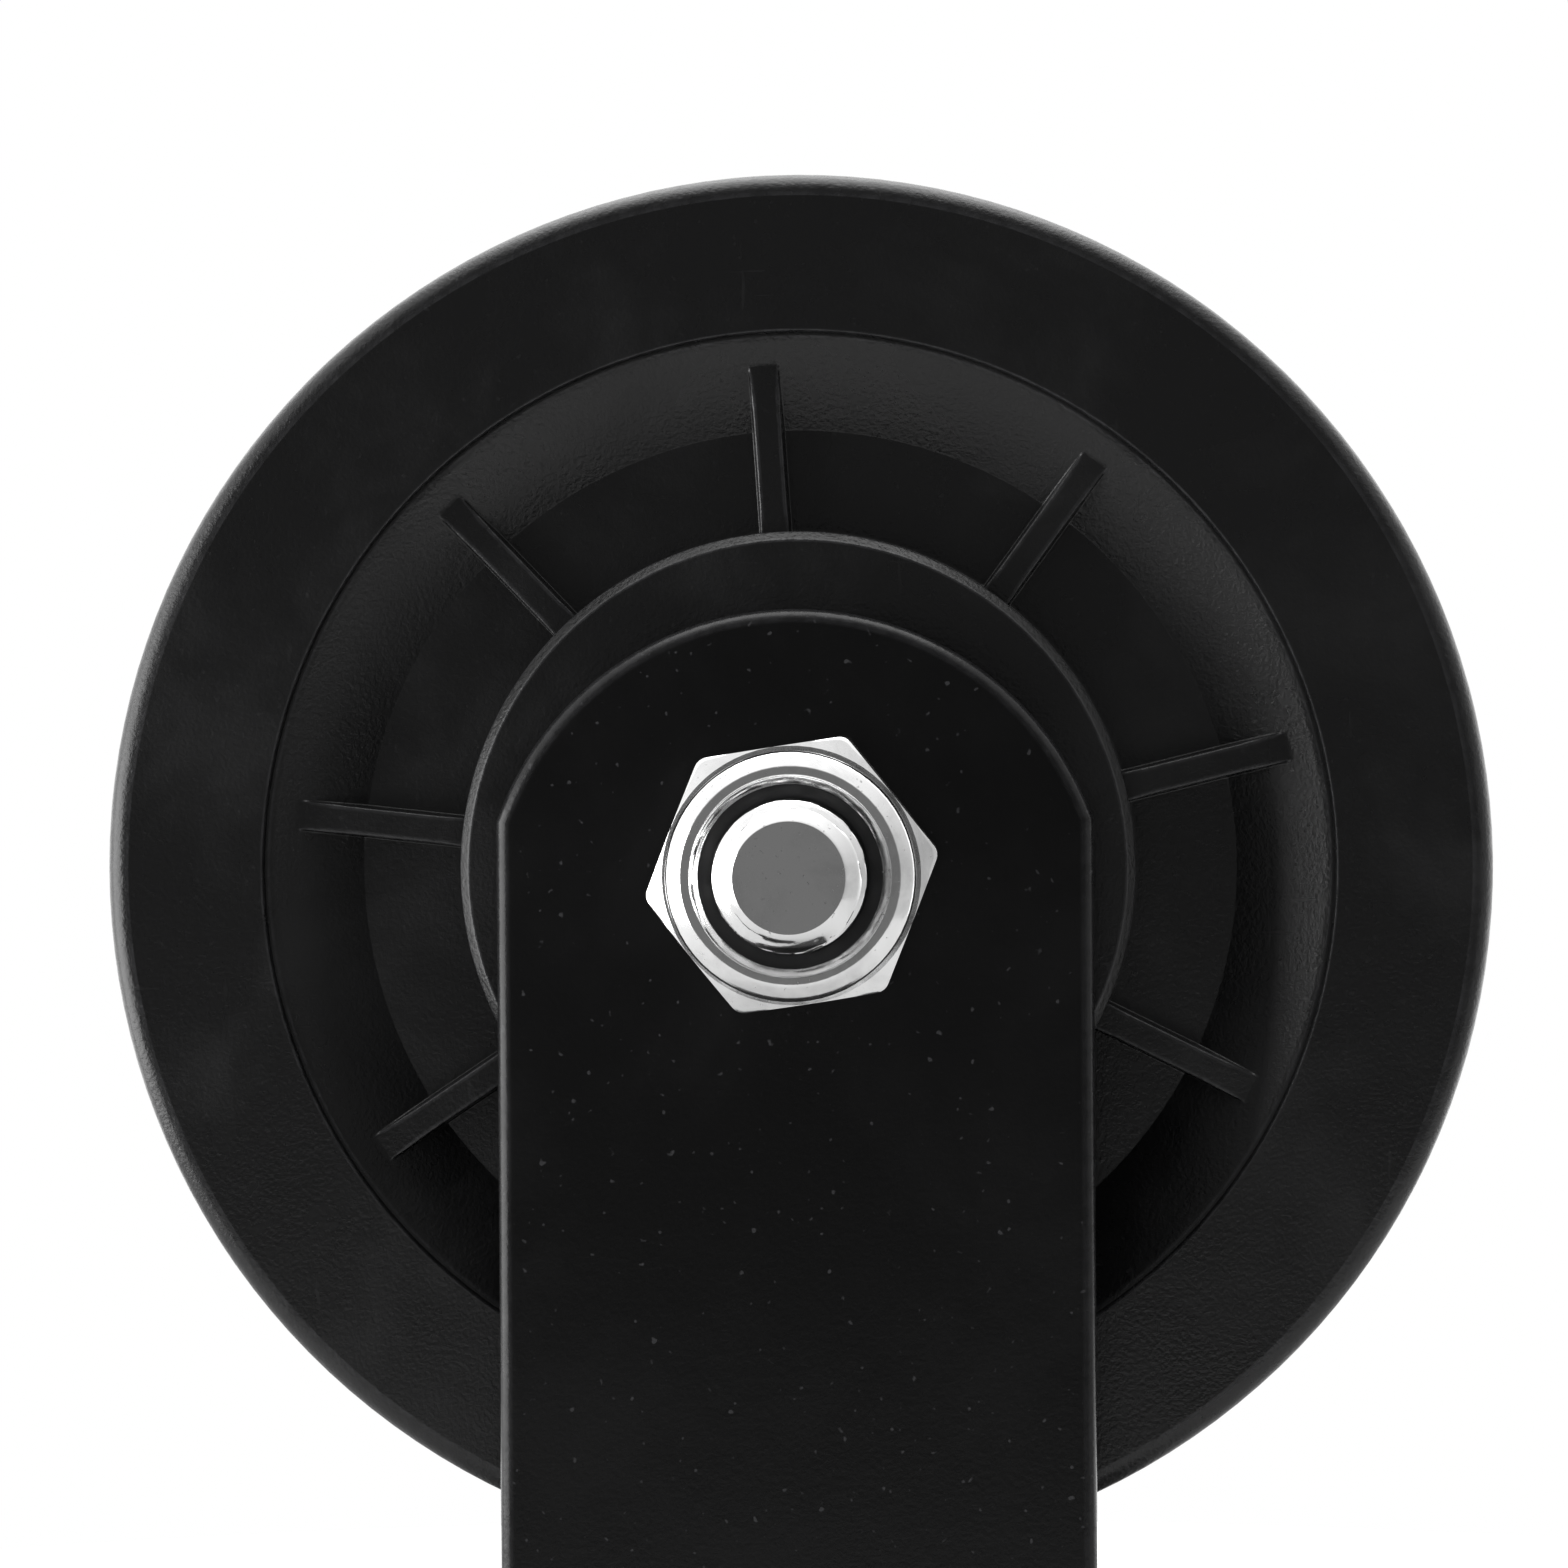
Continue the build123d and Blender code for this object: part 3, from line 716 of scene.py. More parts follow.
def make_materials(finish):
    """All materials, by the slot of the record that each one finishes."""
    GROUP_TREES.update(texture=surface_texture_group(), marks=handling_and_highlight_group())
    MATERIALS.update(
        wheel_nylon=moulded_nylon(finish),
        black_powder_coat=powder_coat(finish),
        zinc_plate=zinc_plate(finish),
        insert_nylon=plain_plastic("Locking ring nylon", finish.insert_colour, 0.34),
        acetal=plain_plastic("Bush acetal", finish.bush_colour, 0.4),
        cage_nylon=plain_plastic("Cage nylon", finish.cage_colour, 0.45),
        seal_rubber=plain_plastic("Seal rubber", finish.rubber_colour, 0.6),
        steel=turned_steel("Turned steel", finish.steel_colour, 0.3),
        bearing_steel=turned_steel("Bearing steel", finish.bearing_colour, 0.18),
    )


# --- the wheel ------------------------------------------------------------------------------------


def sheave_lines(sizes, radius, hub_face):
    """Half section of the wheel, (radius, height) from the middle of the bore round to the groove's floor.

    It comes in three stretches: bore and hub down to the ribs' height, the dish between hub and wall below
    that height, and the rest of the wall, the rim and the groove. The sloping wall is a straight line. The
    fourth result is the stretch that a rib has in the dish's place.
    """
    s = sizes
    rim, web = s.rim_half_width, s.web_half_width
    rib_top = rim - s.rib_below_rim
    hub = rounded(
        (s.shoulder_radius, 0.0),
        (s.shoulder_radius, s.seat_depth, 0.15 * MM),
        (s.bore_radius, s.seat_depth, 0.1 * MM),
        (s.bore_radius, hub_face - 0.5 * MM, 0.1 * MM),
        (s.bore_radius + 0.45 * MM, hub_face, 0.1 * MM),
        (s.hub_radius - s.hub_chamfer, hub_face, 0.22 * MM),
        (s.hub_radius, hub_face - s.hub_chamfer, 0.22 * MM),
        (s.hub_radius, rib_top),
        steps=4,
    )
    hub = margins(hub, EDGE_MARGIN)
    part = np.linspace(0, 1, 17)[:, None]
    foot = np.array([s.dish_radius, web])
    top = np.array([s.step_radius - 0.2 * MM, rim - s.step_height])
    wall = foot + (top - foot) * part
    below = wall[:, 1] < rib_top
    meeting = np.array([np.interp(rib_top, wall[:, 1], wall[:, 0]), rib_top])
    floor = rounded(
        (s.hub_radius, rib_top),
        (s.hub_radius, web, 0.25 * MM),
        (foot[0], foot[1], 0.2 * MM),
        tuple(wall[3]),
        steps=6,
    )
    dish = margins(np.concatenate([floor, wall[4:][below[4:]], meeting[None]]), EDGE_MARGIN)
    groove_floor = radius - s.groove_depth
    half_floor = s.groove_root / tan((pi / 2 + s.groove_angle) / 2)
    mouth = half_floor + s.groove_depth * tan(s.groove_angle)
    outside = rounded(
        (s.step_radius, top[1]),
        (s.step_radius + 0.15 * MM, rim, 0.14 * MM),
        (radius, rim, s.rim_round),
        (radius, mouth, s.lip_round),
        (groove_floor, half_floor, s.groove_root),
        (groove_floor, 0.0),
        steps=8,
    )
    outside = margins(np.concatenate([wall[~below], outside]), EDGE_MARGIN)
    along = np.concatenate([[0], np.cumsum(np.linalg.norm(np.diff(dish, axis=0), axis=1))])
    along = (along / along[-1])[:, None]
    rib = dish[0] + (meeting - dish[0]) * along
    return hub, dish, outside, rib


def rib_columns(width):
    """Offsets across a rib from its middle, with the share of the rib's height that the surface keeps there.

    The share is 1 on the rib's top, drops a little over its rounded edge, falls along the drafted side, and
    runs out to 0 over the fillet at its foot.
    """
    half = width / 2
    offset = np.array([0.0, 0.5, 0.74, 0.83, 0.90, 0.95, 1.06, 1.09, 1.13, 1.18]) * half
    kept = np.array([1.0, 1.0, 1.0, 0.993, 0.975, 0.94, 0.05, 0.02, 0.006, 0.0])
    return offset, kept


def sheave_half(sizes, radius, hub_face, fill=15):
    """Grid of half the wheel, its columns following the ribs.

    Near a rib they keep their distance from its middle plane, at the angle asin(offset / radius), and between
    two ribs they share the angle that is left.
    """
    hub, dish, outside, rib = sheave_lines(sizes, radius, hub_face)
    plain = np.concatenate([hub, dish[1:], outside])
    ribbed = np.concatenate([hub, rib[1:], outside])
    offset, kept = rib_columns(sizes.rib_width)
    offset = np.concatenate([-offset[:0:-1], offset])
    kept = np.concatenate([kept[:0:-1], kept])
    blank = np.zeros(fill)
    keep = np.concatenate([kept, blank])
    section = plain[:, None] * (1 - keep)[:, None] + ribbed[:, None] * keep[:, None]
    reach = section[..., 0]
    pitch = 2 * pi / sizes.rib_count
    near = np.arcsin(offset / reach[:, : len(offset)])
    edge = near[:, -1:]
    share_left = np.arange(1, fill + 1) / (fill + 1)
    between = edge + (pitch - 2 * edge) * share_left
    sector = np.concatenate([near, between], axis=1)
    starts = sizes.rib_angle + np.arange(sizes.rib_count) * pitch
    angles = (sector[:, None, :] + starts[None, :, None]).reshape(len(plain), -1)
    radius_grid = np.tile(reach, (1, sizes.rib_count))
    height_grid = np.tile(section[..., 1], (1, sizes.rib_count))
    return turned(radius_grid, height_grid, angles)


# --- the strap and the plate ----------------------------------------------------------------------


def edge_lines(outline):
    """Outward unit normals of a closed outline that runs anticlockwise, from each point's two neighbours."""
    ahead = np.roll(outline, -1, axis=0) - np.roll(outline, 1, axis=0)
    normal = np.stack([ahead[:, 1], -ahead[:, 0]], -1)
    return normal / np.linalg.norm(normal, axis=1)[:, None]


def slab(outline, spine, bottom, top, lower_round, upper_round, steps=7):
    """Rows of a slab with rounded edges, as (flat position, height) grids.

    Each column runs from its spine point over the top to the rounded edge, down the side and back underneath.
    A rounding of radius r sets the outline in by r (1 - sin a) and down by r (1 - cos a), a up to 90 degrees.
    """
    normal = edge_lines(outline)
    turn = np.linspace(0, pi / 2, steps)
    back = turn[::-1]
    inset = np.concatenate([upper_round * (1 - np.sin(turn)), lower_round * (1 - np.sin(back))])
    upper = top - upper_round * (1 - np.cos(turn))
    lower = bottom + lower_round * (1 - np.cos(back))
    height = np.concatenate([upper, lower])
    edge = outline[None] - normal[None] * inset[:, None, None]
    skin = np.array([0, 0.35, 0.7, 0.985])[:, None, None]
    over = spine + (edge[0] - spine) * skin
    under = spine + (edge[-1] - spine) * skin[::-1]
    flat = np.concatenate([over, edge, under])
    level = np.concatenate([np.full(len(over), top), height, np.full(len(under), bottom)])
    return flat, np.broadcast_to(level[:, None], flat.shape[:2])


def strap_outline(sizes, half_width, axle_above_crown):
    """The strap laid flat: (x, s) outline and spine, s counted along its middle line from the crown's centre.

    Straight sides with extra points over the bends, and an arc over each ear.
    """
    middle = sizes.bend_radius + sizes.thickness / 2
    flat_half = fork_half_gap() + sizes.thickness / 2 - middle
    bend_end = flat_half + middle * pi / 2
    axle = bend_end + axle_above_crown - middle
    arc_centre = axle + sizes.ear_above_axle - sizes.ear_radius
    corner_angle = np.arccos(half_width / sizes.ear_radius)
    shoulder = arc_centre + sizes.ear_radius * sin(corner_angle)
    straight = np.linspace(bend_end, shoulder, 16)[1:]
    side = np.concatenate([np.linspace(0, flat_half, 6), np.linspace(flat_half, bend_end, 15)[1:], straight])
    side = np.concatenate([-side[:0:-1], side])
    turn = np.linspace(corner_angle, pi - corner_angle, 49)[1:-1]
    ear = np.stack([sizes.ear_radius * np.cos(turn), arc_centre + sizes.ear_radius * np.sin(turn)], -1)
    right = np.stack([np.full(len(side), half_width), side], -1)
    outline = np.concatenate([right, ear, -right, -ear])
    spine = np.stack([np.zeros(len(outline)), np.clip(outline[:, 1], -arc_centre, arc_centre)], -1)
    return outline, spine, middle, flat_half


def fork_half_gap():
    """Half the gap between the fork's cheeks."""
    return span("rear_side_spacer")[1][1]


def bent(flat, level, middle, flat_half, crown_middle):
    """Bends flat strap points (x, s) at a level out from its middle line into the U.

    The middle line is straight up to flat_half, then turns through a quarter circle of radius middle, then
    runs straight up. The level is measured along its outward normal, (sin a, -cos a) after a turn of a.
    """
    x, s = flat[..., 0], np.abs(flat[..., 1])
    turn = np.clip((s - flat_half) / middle, 0, pi / 2)
    rest = np.maximum(s - flat_half - middle * pi / 2, 0)
    out = np.minimum(s, flat_half) + middle * np.sin(turn) + level * np.sin(turn)
    up = crown_middle + middle * (1 - np.cos(turn)) + rest - level * np.cos(turn)
    return np.stack([x, -np.sign(flat[..., 1]) * out, up], -1)


def hole_cutter(line, place):
    """A turned cutter from a (radius, height) line that starts and ends on its axis, moved by place."""
    return solid("cutter", (place(whole_turn(line)), *OPEN))


# --- fasteners ------------------------------------------------------------------------------------


def hexagon_outline(across_flats, corner_round, turn, flat_points=9, corner_points=5):
    """Radius and angle of points round a hexagon with rounded corners, a corner being at the angle turn.

    A corner's arc has its centre across_flats / 2 - corner_round from the flats, on the corner's own ray.
    """
    inner = (across_flats / 2 - corner_round) / cos(pi / 6)
    swing = np.linspace(-pi / 6, pi / 6, corner_points)
    arc = np.stack([inner + corner_round * np.cos(swing), corner_round * np.sin(swing)], -1)
    next_start = np.array(
        [
            arc[0, 0] * cos(pi / 3) - arc[0, 1] * sin(pi / 3),
            arc[0, 0] * sin(pi / 3) + arc[0, 1] * cos(pi / 3),
        ]
    )
    side = arc[-1] + (next_start - arc[-1]) * np.linspace(0, 1, flat_points + 2)[1:-1, None]
    sixth = np.concatenate([arc, side])
    radius = np.linalg.norm(sixth, axis=1)
    sweep = np.arctan2(sixth[:, 1], sixth[:, 0])
    angles = (sweep[None] + (np.arange(6) * pi / 3)[:, None]).ravel() + turn
    return np.tile(radius, 6), angles


def chamfered(hexagon, start_radius):
    """How far a 30 degree cone that starts at start_radius has cut into the hexagon at each of its points."""
    return np.maximum(hexagon - start_radius, 0) * CHAMFER_SLOPE


def lock_nut(sizes, turn):
    """Lock nut about +Z: seat, chamfered hexagon, then a collar rolled over the locking ring, and the bore.

    A 30 degree cone cuts the hexagon's corners down to a narrow valley round the foot of the collar.
    """
    hexagon, angles = hexagon_outline(sizes.across_flats, sizes.corner_round, turn)
    top, bore = sizes.hexagon_height, sizes.thread_radius + 0.05 * MM
    cone_start, cone_top = sizes.collar_radius + 0.3 * MM, top - 0.1 * MM
    valley = cone_top - 0.35 * MM
    low_edge = 0.1 * MM + chamfered(hexagon, CHAMFER_START)
    high_edge = cone_top - chamfered(hexagon, cone_start) - 0.03 * MM
    collar = rounded(
        (sizes.collar_radius, valley),
        (sizes.collar_radius, sizes.nut_height - 0.72 * MM, 0.8 * MM),
        (sizes.collar_radius - 1.1 * MM, sizes.nut_height, 0.6 * MM),
        (sizes.collar_lip + 0.6 * MM, sizes.nut_height, 0.4 * MM),
        (sizes.collar_lip, sizes.nut_height - 0.55 * MM, 0.2 * MM),
        (sizes.collar_lip, sizes.nut_height - 0.95 * MM, 0.05 * MM),
        (bore + INSERT_WIDTH, sizes.nut_height - 1.0 * MM),
        steps=10,
    )
    steps = np.linspace(0, 1, 5)[:, None]
    side = low_edge + (high_edge - low_edge) * steps
    cone = cone_start + (hexagon - cone_start) * np.linspace(0.97, 0, 6)[:, None]
    radius, height = stacked(
        len(angles),
        ([bore, bore + 0.5 * MM, 7.7 * MM, CHAMFER_START], [0.5 * MM, 0.0, 0.0, 0.04 * MM]),
        (hexagon - 0.06 * MM, low_edge - 0.06 * MM),
        (np.broadcast_to(hexagon, side.shape), side),
        (cone, cone_top - chamfered(cone, cone_start)),
        ([sizes.collar_radius + 0.04 * MM], [valley]),
        (collar[:, 0], collar[:, 1]),
        ([bore + INSERT_WIDTH, bore], [top, top]),
    )
    return turned(radius, height, angles)


def lock_ring(sizes):
    """Locking ring in the collar: a flat ring whose top bulges and falls towards the thread."""
    bore, outside = sizes.thread_radius + 0.04 * MM, sizes.thread_radius + INSERT_WIDTH
    low, high = sizes.hexagon_height + 0.05 * MM, sizes.nut_height - 1.0 * MM
    line = rounded(
        (bore, (low + high) / 2),
        (bore, high - 0.15 * MM, 0.25 * MM),
        (bore + 0.9 * MM, high, 0.8 * MM),
        (outside, high, 0.05 * MM),
        (outside, low, 0.05 * MM),
        (bore, low, 0.05 * MM),
        (bore, (low + high) / 2),
    )
    return whole_turn(line)


def tip_radius(sizes, depth):
    """Radius of the crowned chamfer at a depth under the bolt's end.

    Its section is an arc that leans from TIP_LEAN's first angle to its second, as high as it is wide.
    """
    first, last = TIP_LEAN
    reach = sizes.end_chamfer / (sin(last) - sin(first))
    lean = np.clip(cos(first) - depth / reach, cos(last), cos(first))
    return sizes.thread_radius - sizes.end_chamfer + reach * (np.sqrt(1 - lean**2) - sin(first))


def thread_rows(sizes, start, end, angles, rows_per_turn=14):
    """A V thread: radius falls from the crest by the depth times a triangle wave of (height / pitch - turns).

    The wave is clipped at its top and bottom, for flat crests and roots. The thread fades in over its first
    turn and ends inside the crowned chamfer of the bolt's end.
    """
    height = np.arange(start, end - 0.08 * MM, sizes.thread_pitch / rows_per_turn)[:, None]
    phase = (height / sizes.thread_pitch - angles[None] / (2 * pi)) % 1.0
    wave = np.clip(np.abs(phase - 0.5) * 2 * THREAD_FLANK - THREAD_CREST, 0, 1)
    fade = np.clip((height - start) / sizes.thread_pitch, 0, 1)
    crest = np.where(end - height < sizes.end_chamfer, tip_radius(sizes, end - height), sizes.thread_radius)
    radius = np.minimum(sizes.thread_radius - sizes.thread_depth * wave * fade, crest)
    return radius, np.broadcast_to(height, radius.shape)


def bolt_end(sizes, end):
    """Rows from the chamfer's top over a softly rounded edge to the middle of a bolt's flat end."""
    flat = sizes.thread_radius - sizes.end_chamfer
    edge = (tip_radius(sizes, 0.06 * MM), end - 0.06 * MM)
    line = rounded(edge, (flat, end, 0.07 * MM), (flat - 0.6 * MM, end), steps=5)
    return np.append(line[:, 0], 0.0), np.append(line[:, 1], end)


def hexagon_bolt(sizes, head_height, length_under_head, thread_length, turn):
    """Hexagon bolt about +Z, its head's outer face at height 0 and its thread's end at the top."""
    hexagon, angles = hexagon_outline(sizes.across_flats, sizes.corner_round, turn)
    end = head_height + length_under_head
    start = end - thread_length
    face_edge = chamfered(hexagon, CHAMFER_START) + 0.08 * MM
    side = face_edge + (head_height - 0.35 * MM - face_edge) * np.linspace(0, 1, 4)[:, None]
    shank = sizes.thread_radius - 0.02 * MM
    radius, height = stacked(
        len(angles),
        ([0.0, 4.0 * MM, 7.6 * MM, CHAMFER_START], [0.0, 0.0, 0.0, 0.03 * MM]),
        (hexagon - 0.05 * MM, face_edge - 0.05 * MM),
        (np.broadcast_to(hexagon, side.shape), side),
        ([8.2 * MM, 8.1 * MM, shank, shank], [head_height - 0.32 * MM, head_height, head_height, start]),
        thread_rows(sizes, start, end, angles),
        bolt_end(sizes, end),
    )
    return turned(radius, height, angles)


def countersunk_screw(sizes, head_radius, end, socket_flats=6.0 * MM, socket_depth=3.4 * MM):
    """Countersunk screw about +Z, its head's flat face at height 0, with a hexagon socket in it."""
    hexagon, angles = hexagon_outline(socket_flats, 0.12 * MM, 0.0)
    shank = sizes.thread_radius - 0.02 * MM
    start = end - PIVOT_THREAD
    radius, height = stacked(
        len(angles),
        ([0.0], [socket_depth + 0.6 * MM]),
        (hexagon * 0.97, np.full(len(angles), socket_depth)),
        (hexagon, np.full(len(angles), socket_depth - 0.1 * MM)),
        (hexagon, np.full(len(angles), 0.25 * MM)),
        (hexagon * 1.06, np.zeros(len(angles))),
        ([head_radius - 0.25 * MM, head_radius, head_radius - 0.02 * MM], [0.0, 0.12 * MM, 0.3 * MM]),
        ([shank, shank], [head_radius - shank + 0.25 * MM, start]),
        thread_rows(sizes, start, end, angles),
        bolt_end(sizes, end),
    )
    return turned(radius, height, angles)


def flat_ring(low_radius, high_radius, height, edge):
    """A washer or a spacer about +Z with rounded edges, as a closed section carried round."""
    line = rounded(
        (low_radius, height / 2),
        (low_radius, height, edge),
        (high_radius, height, edge),
        (high_radius, 0.0, edge),
        (low_radius, 0.0, edge),
        (low_radius, height / 2),
        steps=4,
    )
    return whole_turn(line)


def place_fasteners(body, *rows):
    """Makes and places fasteners on a body, each row being (CAD node, slot, grid, wraps)."""
    for node, slot, grid, wraps in rows:
        placed(solid(node.capitalize(), (grid, *wraps)), body, slot, node)


# --- operators ------------------------------------------------------------------------------------


class BlockOperator:
    """What every operator here shares: it can be undone."""

    bl_options = {"REGISTER", "UNDO"}


class SHEAVEBLOCK_OT_materials(BlockOperator, bpy.types.Operator):
    """Make the materials"""

    bl_idname = "sheaveblock.materials"
    bl_label = "Materials"

    def execute(self, context):
        make_materials(context.scene.sheave_block.finish)
        return {"FINISHED"}


class SHEAVEBLOCK_OT_sheave(BlockOperator, bpy.types.Operator):
    """Add the moulded wheel"""

    bl_idname = "sheaveblock.sheave"
    bl_label = "Sheave wheel"

    def execute(self, context):
        sizes = context.scene.sheave_block.sheave
        low, high = span("sheave_wheel")
        half = sheave_half(sizes, (high[0] - low[0]) / 2, high[1])
        front = along_axle(half, 0.0)
        rear = along_axle(half * np.array([1, 1, -1]), 0.0)
        wheel = solid("Sheave_wheel", (front, *OPEN), (rear, *OPEN))
        placed(wheel, "sheave", "wheel_nylon", "sheave_wheel")
        return {"FINISHED"}


class SHEAVEBLOCK_OT_fork(BlockOperator, bpy.types.Operator):
    """Add the bent strap"""

    bl_idname = "sheaveblock.fork"
    bl_label = "Fork strap"

    def execute(self, context):
        sizes = context.scene.sheave_block.fork
        low, high = span("fork_strap")
        crown_middle = low[2] + sizes.thickness / 2
        outline, spine, middle, flat_half = strap_outline(sizes, high[0], axle_height() - crown_middle)
        half = sizes.thickness / 2
        flat, level = slab(outline, spine, -half, half, sizes.inner_round, sizes.outer_round)
        strap = solid("Fork_strap", (bent(flat, level, middle, flat_half, crown_middle), *OPEN))
        ear = np.array([[0, 0], [sizes.ear_hole, 0], [sizes.ear_hole, 60 * MM], [0, 60 * MM]])
        crown = np.array([[0, 0], [sizes.crown_hole, 0], [sizes.crown_hole, 12 * MM], [0, 12 * MM]])
        drilled(
            strap,
            [
                hole_cutter(ear, lambda points: along_axle(points, 30 * MM)),
                hole_cutter(crown, lambda points: upright(points, crown_middle - 6 * MM)),
            ],
        )
        placed(strap, "fork", "black_powder_coat", "fork_strap")
        return {"FINISHED"}


class SHEAVEBLOCK_OT_base_plate(BlockOperator, bpy.types.Operator):
    """Add the base plate"""

    bl_idname = "sheaveblock.base_plate"
    bl_label = "Base plate"

    def execute(self, context):
        sizes = context.scene.sheave_block.plate
        low, high = span("base_plate")
        half, thick = high[0], high[2] - low[2]
        start = (half, 0.0)
        turns = ((1, 1), (-1, 1), (-1, -1), (1, -1))
        corners = [(x * half, y * half, sizes.corner_radius) for x, y in turns]
        ring = rounded(start, *corners, start, steps=16)[:-1]
        flat, level = slab(ring, np.zeros_like(ring), 0.0, thick, 0.25 * MM, sizes.top_round)
        plate = solid("Base_plate", (np.concatenate([flat, level[..., None]], -1), *OPEN))
        r, c, far = sizes.hole_radius, sizes.hole_chamfer, 2 * MM
        hole = np.array(
            [
                [0, -far],
                [r + c + far, -far],
                [r, c],
                [r, thick - c],
                [r + c + far, thick + far],
                [0, thick + far],
            ]
        )
        reach = sizes.hole_spacing / 2
        cutters = [
            hole_cutter(hole, lambda points, x=x, y=y: points + np.array([x, y, 0]))
            for x in (-reach, reach)
            for y in (-reach, reach)
        ]
        screw_low, screw_high = span("pivot_screw")
        head = screw_high[0]
        shank = 5.1 * MM
        sink = np.array(
            [
                [0, -far],
                [head + screw_low[2] + far + 0.05 * MM, -far],
                [head + 0.02 * MM, screw_low[2]],
                [shank, head - shank + screw_low[2]],
                [shank, thick + far],
                [0, thick + far],
            ]
        )
        cutters.append(hole_cutter(sink, lambda points: points))
        drilled(plate, cutters)
        placed(plate, "base", "black_powder_coat", "base_plate")
        return {"FINISHED"}


class SHEAVEBLOCK_OT_axle_fasteners(BlockOperator, bpy.types.Operator):
    """Add the axle bolt, its washer, its lock nut and the nut's locking ring"""

    bl_idname = "sheaveblock.axle_fasteners"
    bl_label = "Axle fasteners"

    def execute(self, context):
        sizes = context.scene.sheave_block.fastener
        seat = span("axle_nut")[1][1]
        bolt_low, bolt_high = span("axle_bolt")
        washer_low, washer_high = span("bolt_head_washer")
        head = bolt_high[1] - washer_high[1]
        under_head = washer_high[1] - bolt_low[1]
        bolt = hexagon_bolt(sizes, head, under_head, AXLE_THREAD, sizes.head_turn)
        bolt = along_axle(bolt, bolt_high[1])
        washer = flat_ring(
            sizes.thread_radius + 0.25 * MM, washer_high[0], washer_high[1] - washer_low[1], 0.2 * MM
        )
        washer = along_axle(washer, washer_high[1])
        nut, insert = along_axle(lock_nut(sizes, sizes.nut_turn), seat), along_axle(lock_ring(sizes), seat)
        place_fasteners(
            "fork",
            ("axle_bolt", "zinc_plate", bolt, OPEN),
            ("bolt_head_washer", "zinc_plate", washer, OPEN),
            ("axle_nut", "zinc_plate", nut, CLOSED),
            ("axle_nut_insert", "insert_nylon", insert, OPEN),
        )
        return {"FINISHED"}


class SHEAVEBLOCK_OT_pivot_fasteners(BlockOperator, bpy.types.Operator):
    """Add the pivot screw, its washer, its lock nut and the nut's locking ring"""

    bl_idname = "sheaveblock.pivot_fasteners"
    bl_label = "Pivot fasteners"

    def execute(self, context):
        sizes = context.scene.sheave_block.fastener
        seat = span("pivot_nut")[0][2]
        low, high = span("pivot_screw")
        washer_low, washer_high = span("pivot_washer")
        screw = upright(countersunk_screw(sizes, high[0] - 0.02 * MM, high[2] - low[2]), low[2])
        washer = flat_ring(
            sizes.thread_radius + 0.1 * MM, washer_high[0], washer_high[2] - washer_low[2], 0.2 * MM
        )
        washer = upright(washer, washer_low[2])
        nut, insert = upright(lock_nut(sizes, radians(30)), seat), upright(lock_ring(sizes), seat)
        place_fasteners(
            "base",
            ("pivot_screw", "zinc_plate", screw, OPEN),
            ("pivot_washer", "zinc_plate", washer, OPEN),
            ("pivot_nut", "zinc_plate", nut, CLOSED),
            ("pivot_nut_insert", "insert_nylon", insert, OPEN),
        )
        return {"FINISHED"}


class SHEAVEBLOCK_OT_rings(BlockOperator, bpy.types.Operator):
    """Add the swivel's bush and washers and the spacers beside the hub"""

    bl_idname = "sheaveblock.rings"
    bl_label = "Bush, washers and spacers"

    def execute(self, context):
        slots = {n["node"]: n["material_slot"] for n in frame["record"]["subparts"]}
        sleeve = span("pivot_sleeve")[1][0]
        for node, body, bore in (
            ("lower_thrust_washer", "base", sleeve + 0.1 * MM),
            ("top_thrust_washer", "fork", sleeve + 0.05 * MM),
        ):
            low, high = span(node)
            ring = upright(flat_ring(bore, high[0], high[2] - low[2], 0.15 * MM), low[2])
            place_fasteners(body, (node, slots[node], ring, OPEN))
        for node in ("front_side_spacer", "rear_side_spacer"):
            low, high = span(node)
            ring = along_axle(flat_ring(5.05 * MM, high[0], high[1] - low[1], 0.25 * MM), high[1])
            place_fasteners("fork", (node, slots[node], ring, OPEN))
        low, high = span("crown_bush")
        bore, flange_top = sleeve + 0.05 * MM, span("fork_strap")[0][2]
        neck = context.scene.sheave_block.fork.crown_hole
        line = rounded(
            (bore, (low[2] + high[2]) / 2),
            (bore, low[2], 0.1 * MM),
            (high[0], low[2], 0.3 * MM),
            (high[0], flange_top, 0.3 * MM),
            (neck, flange_top, 0.05 * MM),
            (neck, high[2], 0.1 * MM),
            (bore, high[2], 0.1 * MM),
            (bore, (low[2] + high[2]) / 2),
        )
        placed(solid("Fork_bush", (whole_turn(line), *OPEN)), "fork", "acetal", "crown_bush")
        return {"FINISHED"}


class SHEAVEBLOCK_OT_inner_parts(BlockOperator, bpy.types.Operator):
    """Give the enclosed CAD parts their materials"""

    bl_idname = "sheaveblock.inner_parts"
    bl_label = "Inner parts"

    def execute(self, context):
        replaced = {name for piece in bpy.data.objects for name in piece.get("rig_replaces", [])}
        for row in frame["record"]["subparts"]:
            part = frame["nodes"][row["node"]]
            if row["node"] in replaced or part.hide_render:
                continue
            part.data.materials.clear()
            part.data.materials.append(MATERIALS[row["material_slot"]])
            weld = part.modifiers.new("Join triangles", "WELD")
            weld.merge_threshold = WELD_DISTANCE
            part.modifiers.new("Flat faces lead", "WEIGHTED_NORMAL")
        return {"FINISHED"}


